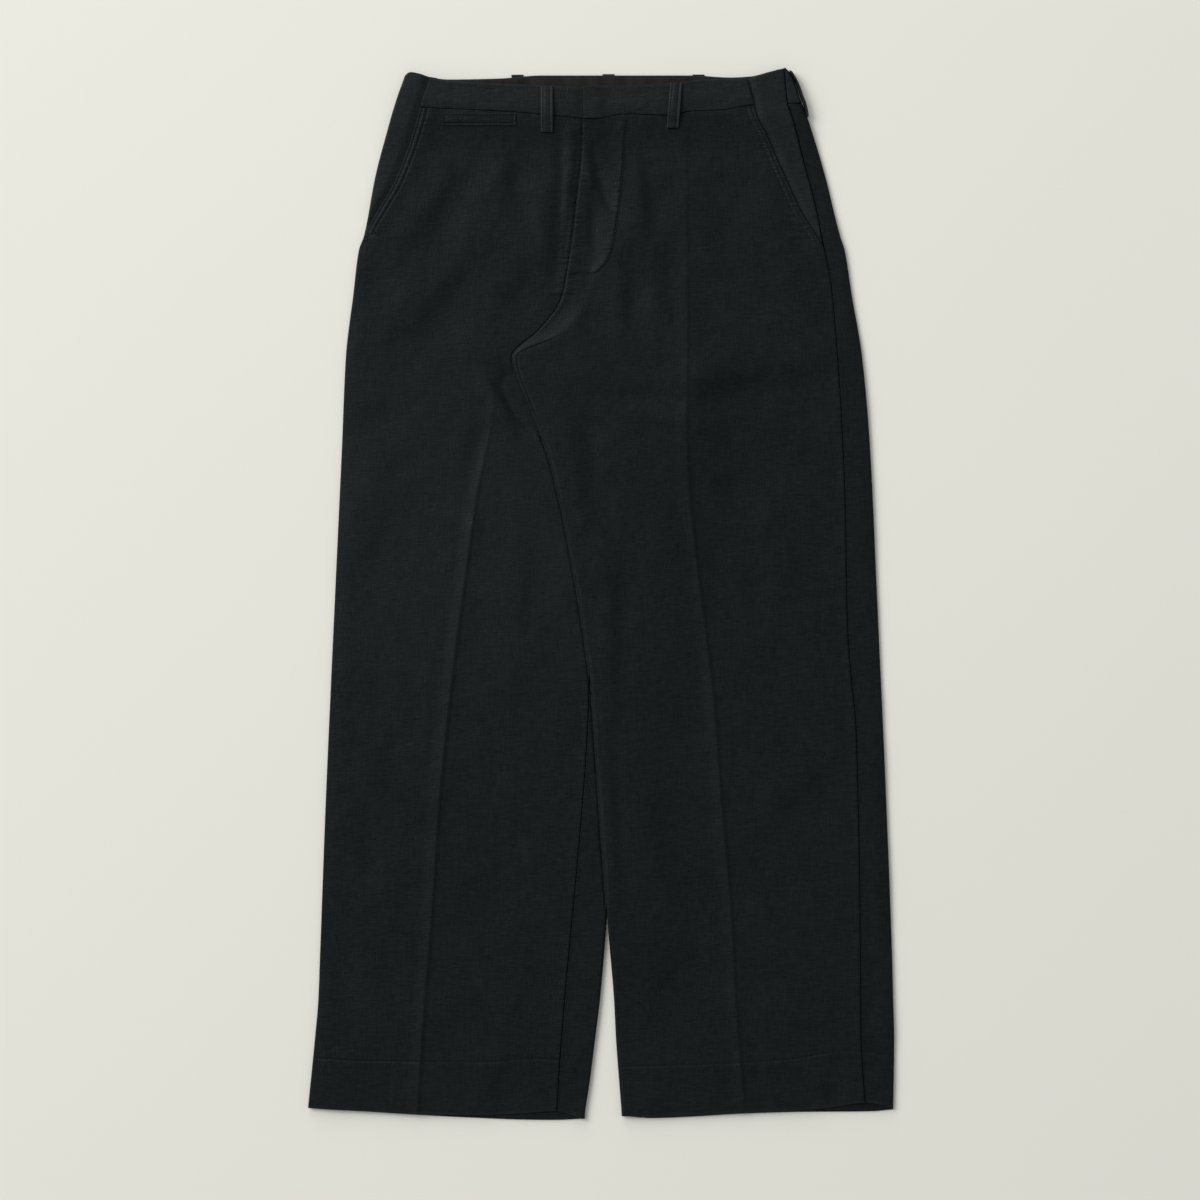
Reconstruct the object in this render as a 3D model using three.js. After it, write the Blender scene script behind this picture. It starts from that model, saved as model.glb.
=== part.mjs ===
// Work trousers laid flat on their back, with a fly, slanted side pockets, a coin pocket and seven belt loops.
// The wearer's left leg (+X) lies over the right one (-X) from the crotch nearly down to the hems.
// Millimetres, +X to the wearer's left, +Y to the waist, +Z up; the cloth rests on z = 0.
import * as THREE from "three";
import { mergeVertices } from "three/addons/utils/BufferGeometryUtils.js";

const { clamp, lerp, smoothstep, degToRad } = THREE.MathUtils;

// Cloth and the way its layers lie on each other
const CLOTH = 1.2; // one layer of heavy cotton
const HOLLOW = 2.6; // air between the front and the back of a leg
const LAY = 0.4; // between two legs that lie on each other
const SEAM = 0.3; // between two pieces at a seam
const FLOOR_LEVEL = CLOTH / 2; // middle of the cloth that lies on the floor
const FRONT_LEVEL = CLOTH / 2 + HOLLOW + CLOTH; // middle of the cloth on top of a leg
const OVERLAY = 2 * CLOTH + HOLLOW + LAY; // how far a leg is lifted by the leg under it
const LAP = CLOTH + LAY; // how far a front is lifted where it laps over the other one
const LAP_END = [11, 26]; // it comes down again over this stretch, measured from its edge
const ROLL = 18; // width over which the left front rolls down to the rise

// Waist
const BAND = 2.4; // front waistband, four layers pressed flat
const BACK_BAND = 2;
const BAND_LEVEL = 7.7;
const BACK_BAND_LEVEL = 3.1;
const FACING = 1;
const FACING_LEVEL = 4.9;
const FACING_DROP = 2.5; // the facing ends below the band's top edge
const BACK_SEAM_Y = 490; // seam of the back waistband
const WAIST_Y = 476; // seam of the front waistband near the fly
const BACK_RISE = 2.3; // the back climbs onto its belt loops here
const FRONT_RISE = 3.1;
const UNDERLAP_DIP = 0.8;
const TAB_RISE = 1.9;

// Legs
const CROTCH_Y = 237;
const ROLL_END_Y = 262; // above this the left front lies on the right one with a plain edge
const CURL_END_Y = 180; // below this the left front is turned under all the way
const BACK_FOLD_TOP_Y = 335; // the right back is folded over below this
const CENTRE_BACK_X = 6;
const OUTSEAM_UNDER = 12; // the right outseam lies this far in from the fold, on the underside
const INSEAM_UNDER = 18; // the left inseam lies this far in at the hem, on the underside
const HEM_EXTRA = 0.8; // the turned-up hem makes the wall thicker on the inside
const CREASE_HALF = 14; // half the width of a pressed crease
const RAMP = 28; // the left leg comes down to the floor over this width

// Pockets and belt loops
const MOUTH_END = { right: 357.5, left: 347 };
const POCKET_TUCK = 8; // the side panel runs on under the pocket's edge
const POCKET_DROP = 2;
const WELT = { left: -84.8, right: -158.2, top: 478.7, bottom: 468, thickness: 0.8 };
const PLACKET = 0.8;
const FLY_INSET = 0.6;
const LOOP = { width: 12, length: 46, thickness: 1.2, back: 1.8 };

// Outer folds: where the legs turn over at the sides.
const OUTER = [
  { y: 524, right: -194, left: 187 },
  { y: 516, right: -196.5, left: 191.5 },
  { y: 495, right: -204, left: 199 },
  { y: 465, right: -213, left: 210 },
  { y: 420, right: -225, left: 223.5 },
  { y: 358, right: -237, left: 239 },
  { y: 344, right: -242, left: 243.5 },
  { y: 300, right: -247.5, left: 250.5 },
  { y: 237, right: -255, left: 261 },
  { y: 145, right: -259, left: 269 },
  { y: -5, right: -266, left: 276 },
  { y: -205, right: -275, left: 285 },
  { y: -365, right: -281, left: 291 },
  { y: -405, right: -282.5, left: 292 },
  { y: -445, right: -286, left: 293 },
  { y: -515, right: -293, left: 292 },
];
// The middle: over is the free edge of the left front, down the fly, the rise and the leg's inner fold;
// under is the right leg's inner fold, which the left leg hides down to y = -340.
const MIDDLE = [
  { y: 505, over: -18, under: 12 },
  { y: 452, over: -17.6, under: 12 },
  { y: 391, over: -23.5, under: 12 },
  { y: 335, over: -30.5, under: 12 },
  { y: 325, over: -32, under: 20 },
  { y: 294, over: -39, under: 50 },
  { y: 264, over: -61, under: 78 },
  { y: 237, over: -88, under: 94 },
  { y: 184, over: -71, under: 76.5 },
  { y: 134, over: -51, under: 60 },
  { y: 44, over: -31, under: 41 },
  { y: -86, over: -11, under: 21 },
  { y: -145, over: -6, under: 16 },
  { y: -235, over: 0, under: 11 },
  { y: -345, over: 8, under: 7 },
  { y: -405, over: 13, under: -1 },
  { y: -445, over: 15, under: -6 },
  { y: -485, over: 18, under: -11 },
  { y: -517, over: 20.5, under: -16 },
];
// Edge of the two backs where the seat seam joins them, between the legs' layers.
const SEAT_SEAM = [
  { y: 335, x: 3 },
  { y: 325, x: -2 },
  { y: 294, x: -24 },
  { y: 264, x: -50 },
  { y: 248, x: -70 },
  { y: 240, x: -78 },
];
const RIGHT_INSEAM = [
  { y: 237, x: -85 },
  { y: 184, x: -66 },
  { y: 134, x: -46 },
  { y: 44, x: -25 },
  { y: -60, x: -11 },
  { y: -100, x: -12 },
  { y: -145, x: -14 },
  { y: -465, x: -41 },
  { y: -515, x: -44 },
];
const LEFT_OUTSEAM = [
  { y: 525, x: 183 },
  { y: 492, x: 186 },
  { y: 473, x: 192 },
  { y: 431, x: 203 },
  { y: 387, x: 214.6 },
  { y: 345, x: 223 },
  { y: 312, x: 229.6 },
  { y: 254, x: 235 },
  { y: 181, x: 240 },
  { y: 84, x: 244 },
  { y: -25, x: 246 },
  { y: -73, x: 249 },
  { y: -140, x: 255 },
  { y: -350, x: 259 },
  { y: -436, x: 259.5 },
  { y: -513, x: 264 },
];
const MOUTHS = [
  { y: 514, right: -171, left: 145.5 },
  { y: 487, right: -180, left: 153 },
  { y: 474, right: -183.5, left: 157 },
  { y: 462, right: -187, left: 164 },
  { y: 431, right: -198, left: 177.5 },
  { y: 406, right: -209, left: 189 },
  { y: 386, right: -221, left: 198 },
  { y: 358, right: -236.2, left: 215.5 },
  { y: 347, right: -239, left: 222 },
];
// Pressed creases down the legs, with the height that each stands up.
const CREASES = [
  { y: 480, right: -100, left: 88, rightHeight: 0, leftHeight: 0 },
  { y: 414, right: -100, left: 87, rightHeight: 0, leftHeight: 0 },
  { y: 254, right: -103, left: 86, rightHeight: 0, leftHeight: 0.8 },
  { y: 170, right: -110, left: 85, rightHeight: 0.6, leftHeight: 1.6 },
  { y: 106, right: -123, left: 87.5, rightHeight: 1.8, leftHeight: 2.2 },
  { y: 17, right: -136, left: 97, rightHeight: 2.4, leftHeight: 2.4 },
  { y: -105, right: -151.5, left: 112, rightHeight: 2.4, leftHeight: 2.4 },
  { y: -210, right: -162, left: 120, rightHeight: 2.4, leftHeight: 2.4 },
  { y: -314, right: -169, left: 129, rightHeight: 2.4, leftHeight: 2.4 },
  { y: -435, right: -178.6, left: 136, rightHeight: 2.4, leftHeight: 2.4 },
  { y: -516, right: -183.7, left: 143.5, rightHeight: 2, leftHeight: 2 },
];
// Largest soft folds of the fronts, each along a line; a positive depth is a trough.
const FOLDS = [
  { side: "left", x1: 88, y1: 196, x2: 150, y2: 204, depth: 1.9, half: 13 }, // across the thigh
  { side: "left", x1: 150, y1: 204, x2: 226, y2: 218, depth: 1.1, half: 11 },
  { side: "left", x1: 176, y1: -12, x2: 236, y2: -3, depth: 0.9, half: 9 }, // at the knee
  { side: "left", x1: -8, y1: 298, x2: -17, y2: 246, depth: 1, half: 8 }, // below the fly
  { side: "right", x1: -100, y1: 228, x2: -86, y2: 172, depth: 1.5, half: 11 }, // below the crotch
  { side: "right", x1: -37, y1: 462, x2: -40, y2: 424, depth: 1, half: 6 }, // beside the fly
  { side: "right", x1: -83, y1: 436, x2: -84, y2: 400, depth: 0.7, half: 12 }, // on the hip
];
const FRONT_TOP = {
  right: [
    { x: -171, y: 514.3 },
    { x: -160, y: 513 },
    { x: -113, y: 509.5 },
    { x: -60, y: 507.8 },
    { x: -17, y: 505.5 },
    { x: -8, y: 505.2 },
  ],
  left: [
    { x: -18, y: 506 },
    { x: -12, y: 507.2 },
    { x: 25, y: 507.4 },
    { x: 70, y: 509.7 },
    { x: 98, y: 513 },
    { x: 146, y: 514.6 },
    { x: 156, y: 517 },
    { x: 169, y: 521.2 },
    { x: 183, y: 525.2 },
  ],
};
const WAIST_SEAM = [
  { x: -181, y: 486 },
  { x: -129, y: 483.5 },
  { x: -83, y: 481 },
  { x: -41, y: 477 },
  { x: -7, y: 474.2 },
  { x: 25, y: 479.3 },
  { x: 66, y: 478 },
  { x: 90, y: 482 },
  { x: 115, y: 483 },
  { x: 153, y: 489 },
];
const BACK_TOP = [
  { x: -197, y: 516.5 },
  { x: -191, y: 521.3 },
  { x: -181, y: 519.5 },
  { x: -171, y: 516.5 },
  { x: -151, y: 514.5 },
  { x: -101, y: 515.5 },
  { x: -60, y: 518.5 },
  { x: 90, y: 518.5 },
  { x: 129, y: 516.5 },
  { x: 149, y: 517.5 },
  { x: 169, y: 522.5 },
  { x: 184, y: 525.5 },
  { x: 191, y: 519.5 },
];
// Hem edges: upper is the edge of the cloth on top, lower of the cloth on the floor.
const HEMS = {
  right: [
    { x: -292, upper: -513, lower: -513 },
    { x: -240, upper: -516, lower: -516.5 },
    { x: -179, upper: -519, lower: -520.5 },
    { x: -117, upper: -519.5, lower: -523.5 },
    { x: -76, upper: -518, lower: -525 },
    { x: -46, upper: -516, lower: -525.3 },
    { x: -19, upper: -523.5, lower: -524 },
  ],
  left: [
    { x: 20, upper: -521, lower: -521 },
    { x: 50, upper: -521.2, lower: -523.5 },
    { x: 91, upper: -519.8, lower: -522 },
    { x: 142, upper: -517.5, lower: -519 },
    { x: 203, upper: -514.5, lower: -517.2 },
    { x: 234, upper: -511.5, lower: -517 },
    { x: 263, upper: -507.3, lower: -516.8 },
    { x: 285, upper: -511, lower: -515.8 },
    { x: 292, upper: -514, lower: -514.5 },
  ],
};
const FLY_STITCH = [
  { y: 476, x: 26 },
  { y: 462, x: 24.4 },
  { y: 428, x: 22 },
  { y: 395, x: 19 },
  { y: 375, x: 16.4 },
  { y: 353, x: 13 },
  { y: 338, x: 9 },
  { y: 326, x: 1 },
  { y: 321, x: -6 },
  { y: 318.5, x: -20 },
];

// Rows of the panels from the waist seam to the hem; the last three make the turned-up hem.
const ROWS = [
  ...[478, 462, 440, 418, 396, 376, 357.5, 355.5, 347, 335, 325, 310, 294, 279, 264],
  ...[248, 240, 237, 226, 214, 202, 190, 175, 152, 125, 90, 50, 5, -45, -95, -145],
  ...[-190, -235, -290, -335, -370, -405, -440, -462, -464, -490, -518],
];
// Columns of the left front along its free edge, by their distance from it
const FLY_COLUMNS = [26, 20, 15, 11, 5, 0];
// Cells across the right front beside the pocket; the others start below it and go round the fold.
const MOUTH_COLUMNS = 12;
const HEM_ZONE_Y = -464;
const TOP_ZONE_Y = 462;

// A smooth function through the rows of a table that doesn't swing past them.
function curve(table, at, column) {
  const rows = [...table].sort((a, b) => a[at] - b[at]);
  const t = rows.map((row) => row[at]);
  const v = rows.map((row) => row[column]);
  const rise = v.slice(1).map((next, i) => (next - v[i]) / (t[i + 1] - t[i]));
  const slope = v.map((_, i) => {
    if (i === 0) return rise[0];
    if (i === rise.length) return rise[i - 1];
    return rise[i - 1] * rise[i] <= 0 ? 0 : (2 * rise[i - 1] * rise[i]) / (rise[i - 1] + rise[i]);
  });
  return (at) => {
    const s = clamp(at, t[0], t[t.length - 1]);
    const i = clamp(t.findIndex((next) => next >= s) - 1, 0, rise.length - 1);
    const h = t[i + 1] - t[i];
    const u = (s - t[i]) / h;
    return (
      v[i] * (1 + 2 * u) * (1 - u) ** 2 +
      slope[i] * h * u * (1 - u) ** 2 +
      v[i + 1] * u * u * (3 - 2 * u) +
      slope[i + 1] * h * u * u * (u - 1)
    );
  };
}

const outer = { right: curve(OUTER, "y", "right"), left: curve(OUTER, "y", "left") };
const over = curve(MIDDLE, "y", "over");
const under = curve(MIDDLE, "y", "under");
const seatSeam = curve(SEAT_SEAM, "y", "x");
const rightInseam = curve(RIGHT_INSEAM, "y", "x");
const leftOutseam = curve(LEFT_OUTSEAM, "y", "x");
const mouth = { right: curve(MOUTHS, "y", "right"), left: curve(MOUTHS, "y", "left") };
const crease = { right: curve(CREASES, "y", "right"), left: curve(CREASES, "y", "left") };
const creaseHeight = { right: curve(CREASES, "y", "rightHeight"), left: curve(CREASES, "y", "leftHeight") };
const frontTop = { right: curve(FRONT_TOP.right, "x", "y"), left: curve(FRONT_TOP.left, "x", "y") };
const waistSeam = curve(WAIST_SEAM, "x", "y");
const backTop = curve(BACK_TOP, "x", "y");
const flyStitch = curve(FLY_STITCH, "y", "x");
const hemEdge = {
  right: { upper: curve(HEMS.right, "x", "upper"), lower: curve(HEMS.right, "x", "lower") },
  left: { upper: curve(HEMS.left, "x", "upper"), lower: curve(HEMS.left, "x", "lower") },
};

// Heights of the middle of the cloth

const inseamWrap = (y) => (INSEAM_UNDER * clamp(CURL_END_Y - y, 0, 700)) / 700;

// Where the left leg starts to come down to the floor, beside the leg under it.
const rampStart = (y) => Math.max(under(y) + 2, over(y) + inseamWrap(y) + 9);

// 1 where the left leg lies on the right one, 0 where it lies on the floor.
const cover = (x, y) => 1 - smoothstep(x, rampStart(y), rampStart(y) + RAMP);

const backLift = (x, y) => OVERLAY * cover(x, y) * smoothstep(-y, -352, -337) * smoothstep(y, -372, -337);

const frontLift = (x, y) => OVERLAY * cover(x, y) * smoothstep(-y, -400, -337) * smoothstep(y, -405, -337);

function backLevel(side, x, y) {
  const rise = BACK_RISE * smoothstep(y, 455, 485);
  return FLOOR_LEVEL + rise + (side === "left" ? backLift(x, y) : 0);
}

// How far the soft folds lower the front at a point.
function foldDepth(side, x, y) {
  let depth = 0;
  for (const fold of FOLDS.filter((f) => f.side === side)) {
    const run = new THREE.Vector2(fold.x2 - fold.x1, fold.y2 - fold.y1);
    const from = new THREE.Vector2(x - fold.x1, y - fold.y1);
    const along = clamp(from.dot(run) / run.lengthSq(), 0, 1);
    const away = from.sub(run.multiplyScalar(along)).length() / fold.half;
    depth = Math.max(depth, fold.depth * Math.exp(-away * away));
  }
  return depth;
}

function frontLevel(side, x, y) {
  const ridge = 1 - Math.abs(x - crease[side](y)) / CREASE_HALF;
  const shaped = creaseHeight[side](y) * Math.max(0, ridge) - foldDepth(side, x, y);
  const level = FRONT_LEVEL + FRONT_RISE * smoothstep(y, 440, 480) + shaped;
  if (side === "right") return level;
  const inward = x - over(y);
  const lap = LAP * (1 - smoothstep(inward, ...LAP_END)) * smoothstep(y, 228, 240);
  const eased = lerp(1, smoothstep(inward, 0, ROLL), smoothstep(y, CROTCH_Y, ROLL_END_Y));
  return level + lap + Math.max(0, frontLift(x, y) - lap) * eased;
}

// Evenly spaced numbers from one value to another, both included.
const steps = (from, to, count) => Array.from({ length: count + 1 }, (_, i) => lerp(from, to, i / count));

const at = (x, z) => ({ x, z });

// Half circle round a fold from one level to another; edge is the fold's outermost x and facing is -1 or 1.
function turn(edge, facing, fromLevel, toLevel) {
  const radius = Math.abs(toLevel - fromLevel) / 2;
  const centre = edge - facing * (radius + CLOTH / 2);
  const way = Math.sign(toLevel - fromLevel);
  return steps(-90, 90, 4).map((degrees) => {
    const a = degToRad(degrees);
    return at(centre + facing * radius * Math.cos(a), (fromLevel + toLevel) / 2 + way * radius * Math.sin(a));
  });
}

// The left leg's inner fold, as a function of the distance from its top point round to the underside.
function innerFold(y) {
  const low = backLevel("left", over(y), y);
  const radius = (frontLevel("left", over(y) + CLOTH / 2, y) - low) / 2;
  const centre = over(y) + radius + CLOTH / 2;
  const half = Math.PI * radius;
  return {
    centre,
    half,
    end: lerp(half + 1 + inseamWrap(y), half / 2, smoothstep(y, CURL_END_Y, CROTCH_Y)),
    point(s) {
      const a = s / radius;
      return s < half
        ? at(centre - radius * Math.sin(a), low + radius * (1 + Math.cos(a)))
        : at(centre + s - half, low);
    },
  };
}

// Sections: for each panel the middle line of its cloth at a height y, in order round the leg

function frontRight(y) {
  const lap = 3 + 2 * smoothstep(y, CROTCH_Y, 240) + 4 * smoothstep(y, 310, 340);
  const inner = y > CROTCH_Y ? over(y) + lap : rightInseam(y);
  const peak = crease.right(y);
  const level = (x) => at(x, frontLevel("right", x, y));
  const hip = [0, 0.15, 0.3, 0.38, 0.46, 1].map((t) => lerp(inner, peak + CREASE_HALF, t));
  const inside = [...hip, peak, peak - CREASE_HALF].map(level);
  const from = peak - CREASE_HALF;
  if (y >= MOUTH_END.right) {
    const near = [12, 5, 0, -1, -2, -3].map((inward) => mouth.right(y) + inward);
    return [...inside, ...steps(from, near[0], 3).slice(1, 3).map(level), ...near.map(level)];
  }
  const edge = outer.right(y);
  const round = turn(edge, -1, backLevel("right", edge, y), frontLevel("right", edge, y)).reverse();
  const rest = steps(from, round[0].x, 3).slice(1, 3).map(level);
  return [...inside, ...rest, ...round, at(edge + OUTSEAM_UNDER - SEAM, round[4].z)];
}

function backRight(y) {
  const start = outer.right(y) + OUTSEAM_UNDER;
  const low = backLevel("right", start, y);
  const round = turn(under(Math.min(y, BACK_FOLD_TOP_Y)), 1, FLOOR_LEVEL, FRONT_LEVEL);
  const end = y > BACK_FOLD_TOP_Y ? CENTRE_BACK_X - SEAM / 2 : round[0].x;
  const seam = y > CROTCH_Y ? seatSeam(y) : rightInseam(y) + SEAM;
  const flat = steps(start, end, 3).map((x) => at(x, low));
  return [...flat, ...round.slice(1), at(lerp(round[4].x, seam, 0.5), FRONT_LEVEL), at(seam, FRONT_LEVEL)];
}

function backLeft(y) {
  const level = (x) => at(x, backLevel("left", x, y));
  let first;
  if (y > CROTCH_Y) {
    const edge = y > BACK_FOLD_TOP_Y ? CENTRE_BACK_X + SEAM / 2 : seatSeam(y);
    first = steps(edge, edge + 5, 3).map(level);
  } else {
    const fold = innerFold(y);
    const start = fold.end + 2 * SEAM;
    first = steps(start, Math.max(fold.half + 1, start + 3), 3).map(fold.point);
  }
  const ramp = rampStart(y);
  const edge = outer.left(y);
  const round = turn(edge, 1, backLevel("left", edge, y), frontLevel("left", edge, y));
  const floor = steps(ramp, ramp + RAMP, 3);
  const end = Math.min(leftOutseam(y) + SEAM, round[4].x - 1);
  return [
    ...first,
    ...floor.map(level),
    level(lerp(floor[3], round[0].x, 0.5)),
    ...round,
    at(end, frontLevel("left", end, y)),
  ];
}

function frontLeft(y) {
  const level = (x) => at(x, frontLevel("left", x, y));
  const start = y > MOUTH_END.left ? Math.min(mouth.left(y), leftOutseam(y) - SEAM) : leftOutseam(y);
  const peak = crease.left(y);
  const roll = FLY_COLUMNS.map((inward) => level(over(y) + inward));
  let last = roll;
  if (y < ROLL_END_Y) {
    const fold = innerFold(Math.min(y, CROTCH_Y));
    const reach = Math.min(fold.end - 1, fold.half);
    const curl = [...steps(0, reach, 4), fold.end].map(fold.point);
    const shift = over(y) - over(Math.min(y, CROTCH_Y));
    const flat = smoothstep(y, CROTCH_Y, ROLL_END_Y);
    last = curl.map((p, i) => at(lerp(p.x + shift, roll[i].x, flat), lerp(p.z, roll[i].z, flat)));
  }
  const inside = steps(peak - CREASE_HALF, last[0].x, 4).slice(1, 4);
  return [
    ...[...steps(start, peak + CREASE_HALF, 3), peak, peak - CREASE_HALF, ...inside].map(level),
    ...last,
  ];
}

// Pocket facings: tucked under the pocket's edge, level with the front further out.
function sideLevel(side, x, y, level) {
  const outward = side === "right" ? mouth.right(y) - x : x - mouth.left(y);
  return level - POCKET_DROP * (1 - smoothstep(outward, 0, 14));
}

function sideRight(y) {
  const edge = outer.right(y);
  const top = frontLevel("right", edge, y);
  const start = Math.min(mouth.right(y) + POCKET_TUCK, -163.5);
  const flatEnd = Math.min(edge + 4, mouth.right(y));
  const level = (x) => at(x, sideLevel("right", x, y, top));
  const round = turn(edge, -1, backLevel("right", edge, y), level(flatEnd).z).reverse();
  const lip = Math.max(mouth.right(y) + 1, round[0].x + 2.5);
  return [
    ...[start, ...steps(lip, round[0].x + 0.5, 3)].map(level),
    ...round.slice(1),
    at(edge + OUTSEAM_UNDER - SEAM, round[4].z),
  ];
}

function sideLeft(y) {
  const end = leftOutseam(y) - SEAM;
  const edge = Math.min(mouth.left(y), end - 1);
  const top = frontLevel("left", end, y);
  const xs = [...steps(end, edge, 3), edge - POCKET_TUCK];
  return xs.map((x) => at(x, sideLevel("left", x, y, top)));
}

// The front waistbands have the columns of the fronts that they are sewn to.
function bandRight(y) {
  const dip = (x) => UNDERLAP_DIP * smoothstep(x, over(y) - 10, over(y));
  const columns = frontRight(y).slice(0, MOUTH_COLUMNS + 1);
  return columns.map(({ x }) => at(x, BAND_LEVEL - dip(x)));
}

function bandLeft(y) {
  const rise = (x) => TAB_RISE * (1 - smoothstep(x - over(y), ...LAP_END));
  return frontLeft(y).map(({ x }) => at(x, BAND_LEVEL + rise(x)));
}

function bandBack(y) {
  const top = FRONT_LEVEL + FRONT_RISE;
  const round = turn(outer.left(y) - (BACK_BAND - CLOTH) / 2, 1, BACK_BAND_LEVEL, top);
  const start = outer.right(y) + OUTSEAM_UNDER;
  const xs = steps(start, round[0].x, 8).slice(0, 8);
  const end = Math.min(leftOutseam(y) + SEAM, round[4].x - 1);
  return [...xs.map((x) => at(x, BACK_BAND_LEVEL)), ...round, at(end, top)];
}

// Walls: a grid of middle points is moved out and in by half the thickness, and closed at its edges

// Unit normals of a section, lengthened at bends so that the wall keeps its thickness.
function normals(path) {
  const across = path.slice(1).map((p, i) => {
    const d = new THREE.Vector2(p.z - path[i].z, path[i].x - p.x);
    return d.normalize();
  });
  return path.map((_, i) => {
    const before = across[Math.max(0, i - 1)];
    const after = across[Math.min(across.length - 1, i)];
    const sum = before.clone().add(after).normalize();
    return sum.divideScalar(Math.max(0.75, sum.dot(after)));
  });
}

// Closed surface between two grids of points; has tells which cells of the grid exist.
function solid(outside, inside, has = () => true) {
  const rows = outside.length;
  const columns = outside[0].length;
  const points = [...outside.flat(), ...inside.flat()].flatMap((p) => [p.x, p.y, p.z]);
  const out = (r, c) => r * columns + c;
  const inn = (r, c) => rows * columns + out(r, c);
  const cell = (r, c) => r >= 0 && c >= 0 && r < rows - 1 && c < columns - 1 && has(r, c);
  const index = [];
  const quad = (a, b, c, d) => index.push(a, b, c, a, c, d);
  for (let r = 0; r < rows - 1; r++)
    for (let c = 0; c < columns - 1; c++) {
      if (!cell(r, c)) continue;
      quad(out(r, c), out(r, c + 1), out(r + 1, c + 1), out(r + 1, c));
      quad(inn(r, c), inn(r + 1, c), inn(r + 1, c + 1), inn(r, c + 1));
      if (!cell(r - 1, c)) quad(out(r, c), inn(r, c), inn(r, c + 1), out(r, c + 1));
      if (!cell(r + 1, c)) quad(out(r + 1, c), out(r + 1, c + 1), inn(r + 1, c + 1), inn(r + 1, c));
      if (!cell(r, c - 1)) quad(out(r, c), out(r + 1, c), inn(r + 1, c), inn(r, c));
      if (!cell(r, c + 1)) quad(out(r, c + 1), inn(r, c + 1), inn(r + 1, c + 1), out(r + 1, c + 1));
    }
  const geometry = new THREE.BufferGeometry();
  geometry.setAttribute("position", new THREE.Float32BufferAttribute(points, 3));
  geometry.setIndex(index);
  const merged = mergeVertices(geometry, 1e-4);
  merged.computeVertexNormals();
  return merged;
}

// A wall through the sections at the given rows, whose first and last rows follow the top and bottom edges.
function wall({ rows, section, top, bottom, topZone, bottomZone, thickness = CLOTH, extra = () => 0, has }) {
  const outside = [];
  const inside = [];
  const first = rows[0];
  const last = rows[rows.length - 1];
  const stretch = (y, zone, end, edge) => lerp(zone, edge, (y - zone) / (end - zone));
  const bend = (y, p) => {
    if (top && y > topZone) return stretch(y, topZone, first, top(p.x, p.z));
    if (bottom && y < bottomZone) return stretch(y, bottomZone, last, bottom(p.x, p.z));
    return y;
  };
  for (const row of rows) {
    const count = section(row).length;
    const line = Array.from({ length: count }, (_, i) => {
      const y = bend(row, section(bend(row, section(row)[i]))[i]);
      const path = section(y);
      const normal = normals(path)[i];
      const away = (distance) =>
        new THREE.Vector3(path[i].x + normal.x * distance, y, path[i].z + normal.y * distance);
      return [away(thickness / 2), away(-thickness / 2 - extra(row))];
    });
    outside.push(line.map(([o]) => o));
    inside.push(line.map(([, i]) => i));
  }
  return solid(outside, inside, has);
}

// A piece laid on another: seat(x, y) is the height it lies on, xs(y) its columns from the wearer's left.
function applied({ rows, xs, seat, thickness }) {
  const grid = (raise) => rows.map((y) => xs(y).map((x) => new THREE.Vector3(x, y, seat(x, y) + raise)));
  return solid(grid(SEAM + thickness), grid(SEAM));
}

// Materials and nodes

const cloth = (color, roughness) => new THREE.MeshStandardMaterial({ color, roughness, metalness: 0 });
const MOLESKIN = cloth("#1d2123", 0.92);
const MOLESKIN_BAND = cloth("#232729", 0.9);
const BROWN_FACING = cloth("#262420", 0.95);

const trousers = new THREE.Group();

function add(name, geometry, material = MOLESKIN) {
  const mesh = new THREE.Mesh(geometry, material);
  mesh.name = name;
  trousers.add(mesh);
}

// Legs

const hem = (side) => (x, z) => {
  const upper = smoothstep(z, FLOOR_LEVEL + CLOTH, FRONT_LEVEL - CLOTH / 2);
  return lerp(hemEdge[side].lower(x), hemEdge[side].upper(x), upper);
};
const hemExtra = (row) => (row <= HEM_ZONE_Y ? HEM_EXTRA : 0);
const panelRows = { rows: ROWS, topZone: TOP_ZONE_Y, bottomZone: HEM_ZONE_Y, extra: hemExtra };
const frontSeam = (x) => waistSeam(x) - SEAM / 2;
const backSeam = () => BACK_SEAM_Y - SEAM;

const mouthEndRow = ROWS.indexOf(355.5);
add(
  "front_right",
  wall({
    ...panelRows,
    section: frontRight,
    top: frontSeam,
    bottom: hem("right"),
    has: (r, c) => c < MOUTH_COLUMNS || r >= mouthEndRow,
  }),
);
add("front_left", wall({ ...panelRows, section: frontLeft, top: frontSeam, bottom: hem("left") }));
const foldedRow = ROWS.indexOf(BACK_FOLD_TOP_Y);
const flatColumns = 3;
add(
  "back_right",
  wall({
    ...panelRows,
    section: backRight,
    top: backSeam,
    bottom: hem("right"),
    has: (r, c) => c < flatColumns || r >= foldedRow,
  }),
);
add("back_left", wall({ ...panelRows, section: backLeft, top: backSeam, bottom: hem("left") }));

// Side panels, from the waist's top edge to the end of the pocket's mouth

const sideRows = (last) => [516, 508, 499, BACK_SEAM_Y, 462, 440, 418, 396, 376, last];
add(
  "side_panel_right",
  wall({ rows: sideRows(358), section: sideRight, top: backTop, topZone: 508 }),
);
add(
  "side_panel_left",
  wall({ rows: [...sideRows(362), 348], section: sideLeft, top: frontTop.left, topZone: 508 }),
);

// Waistbands

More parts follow.
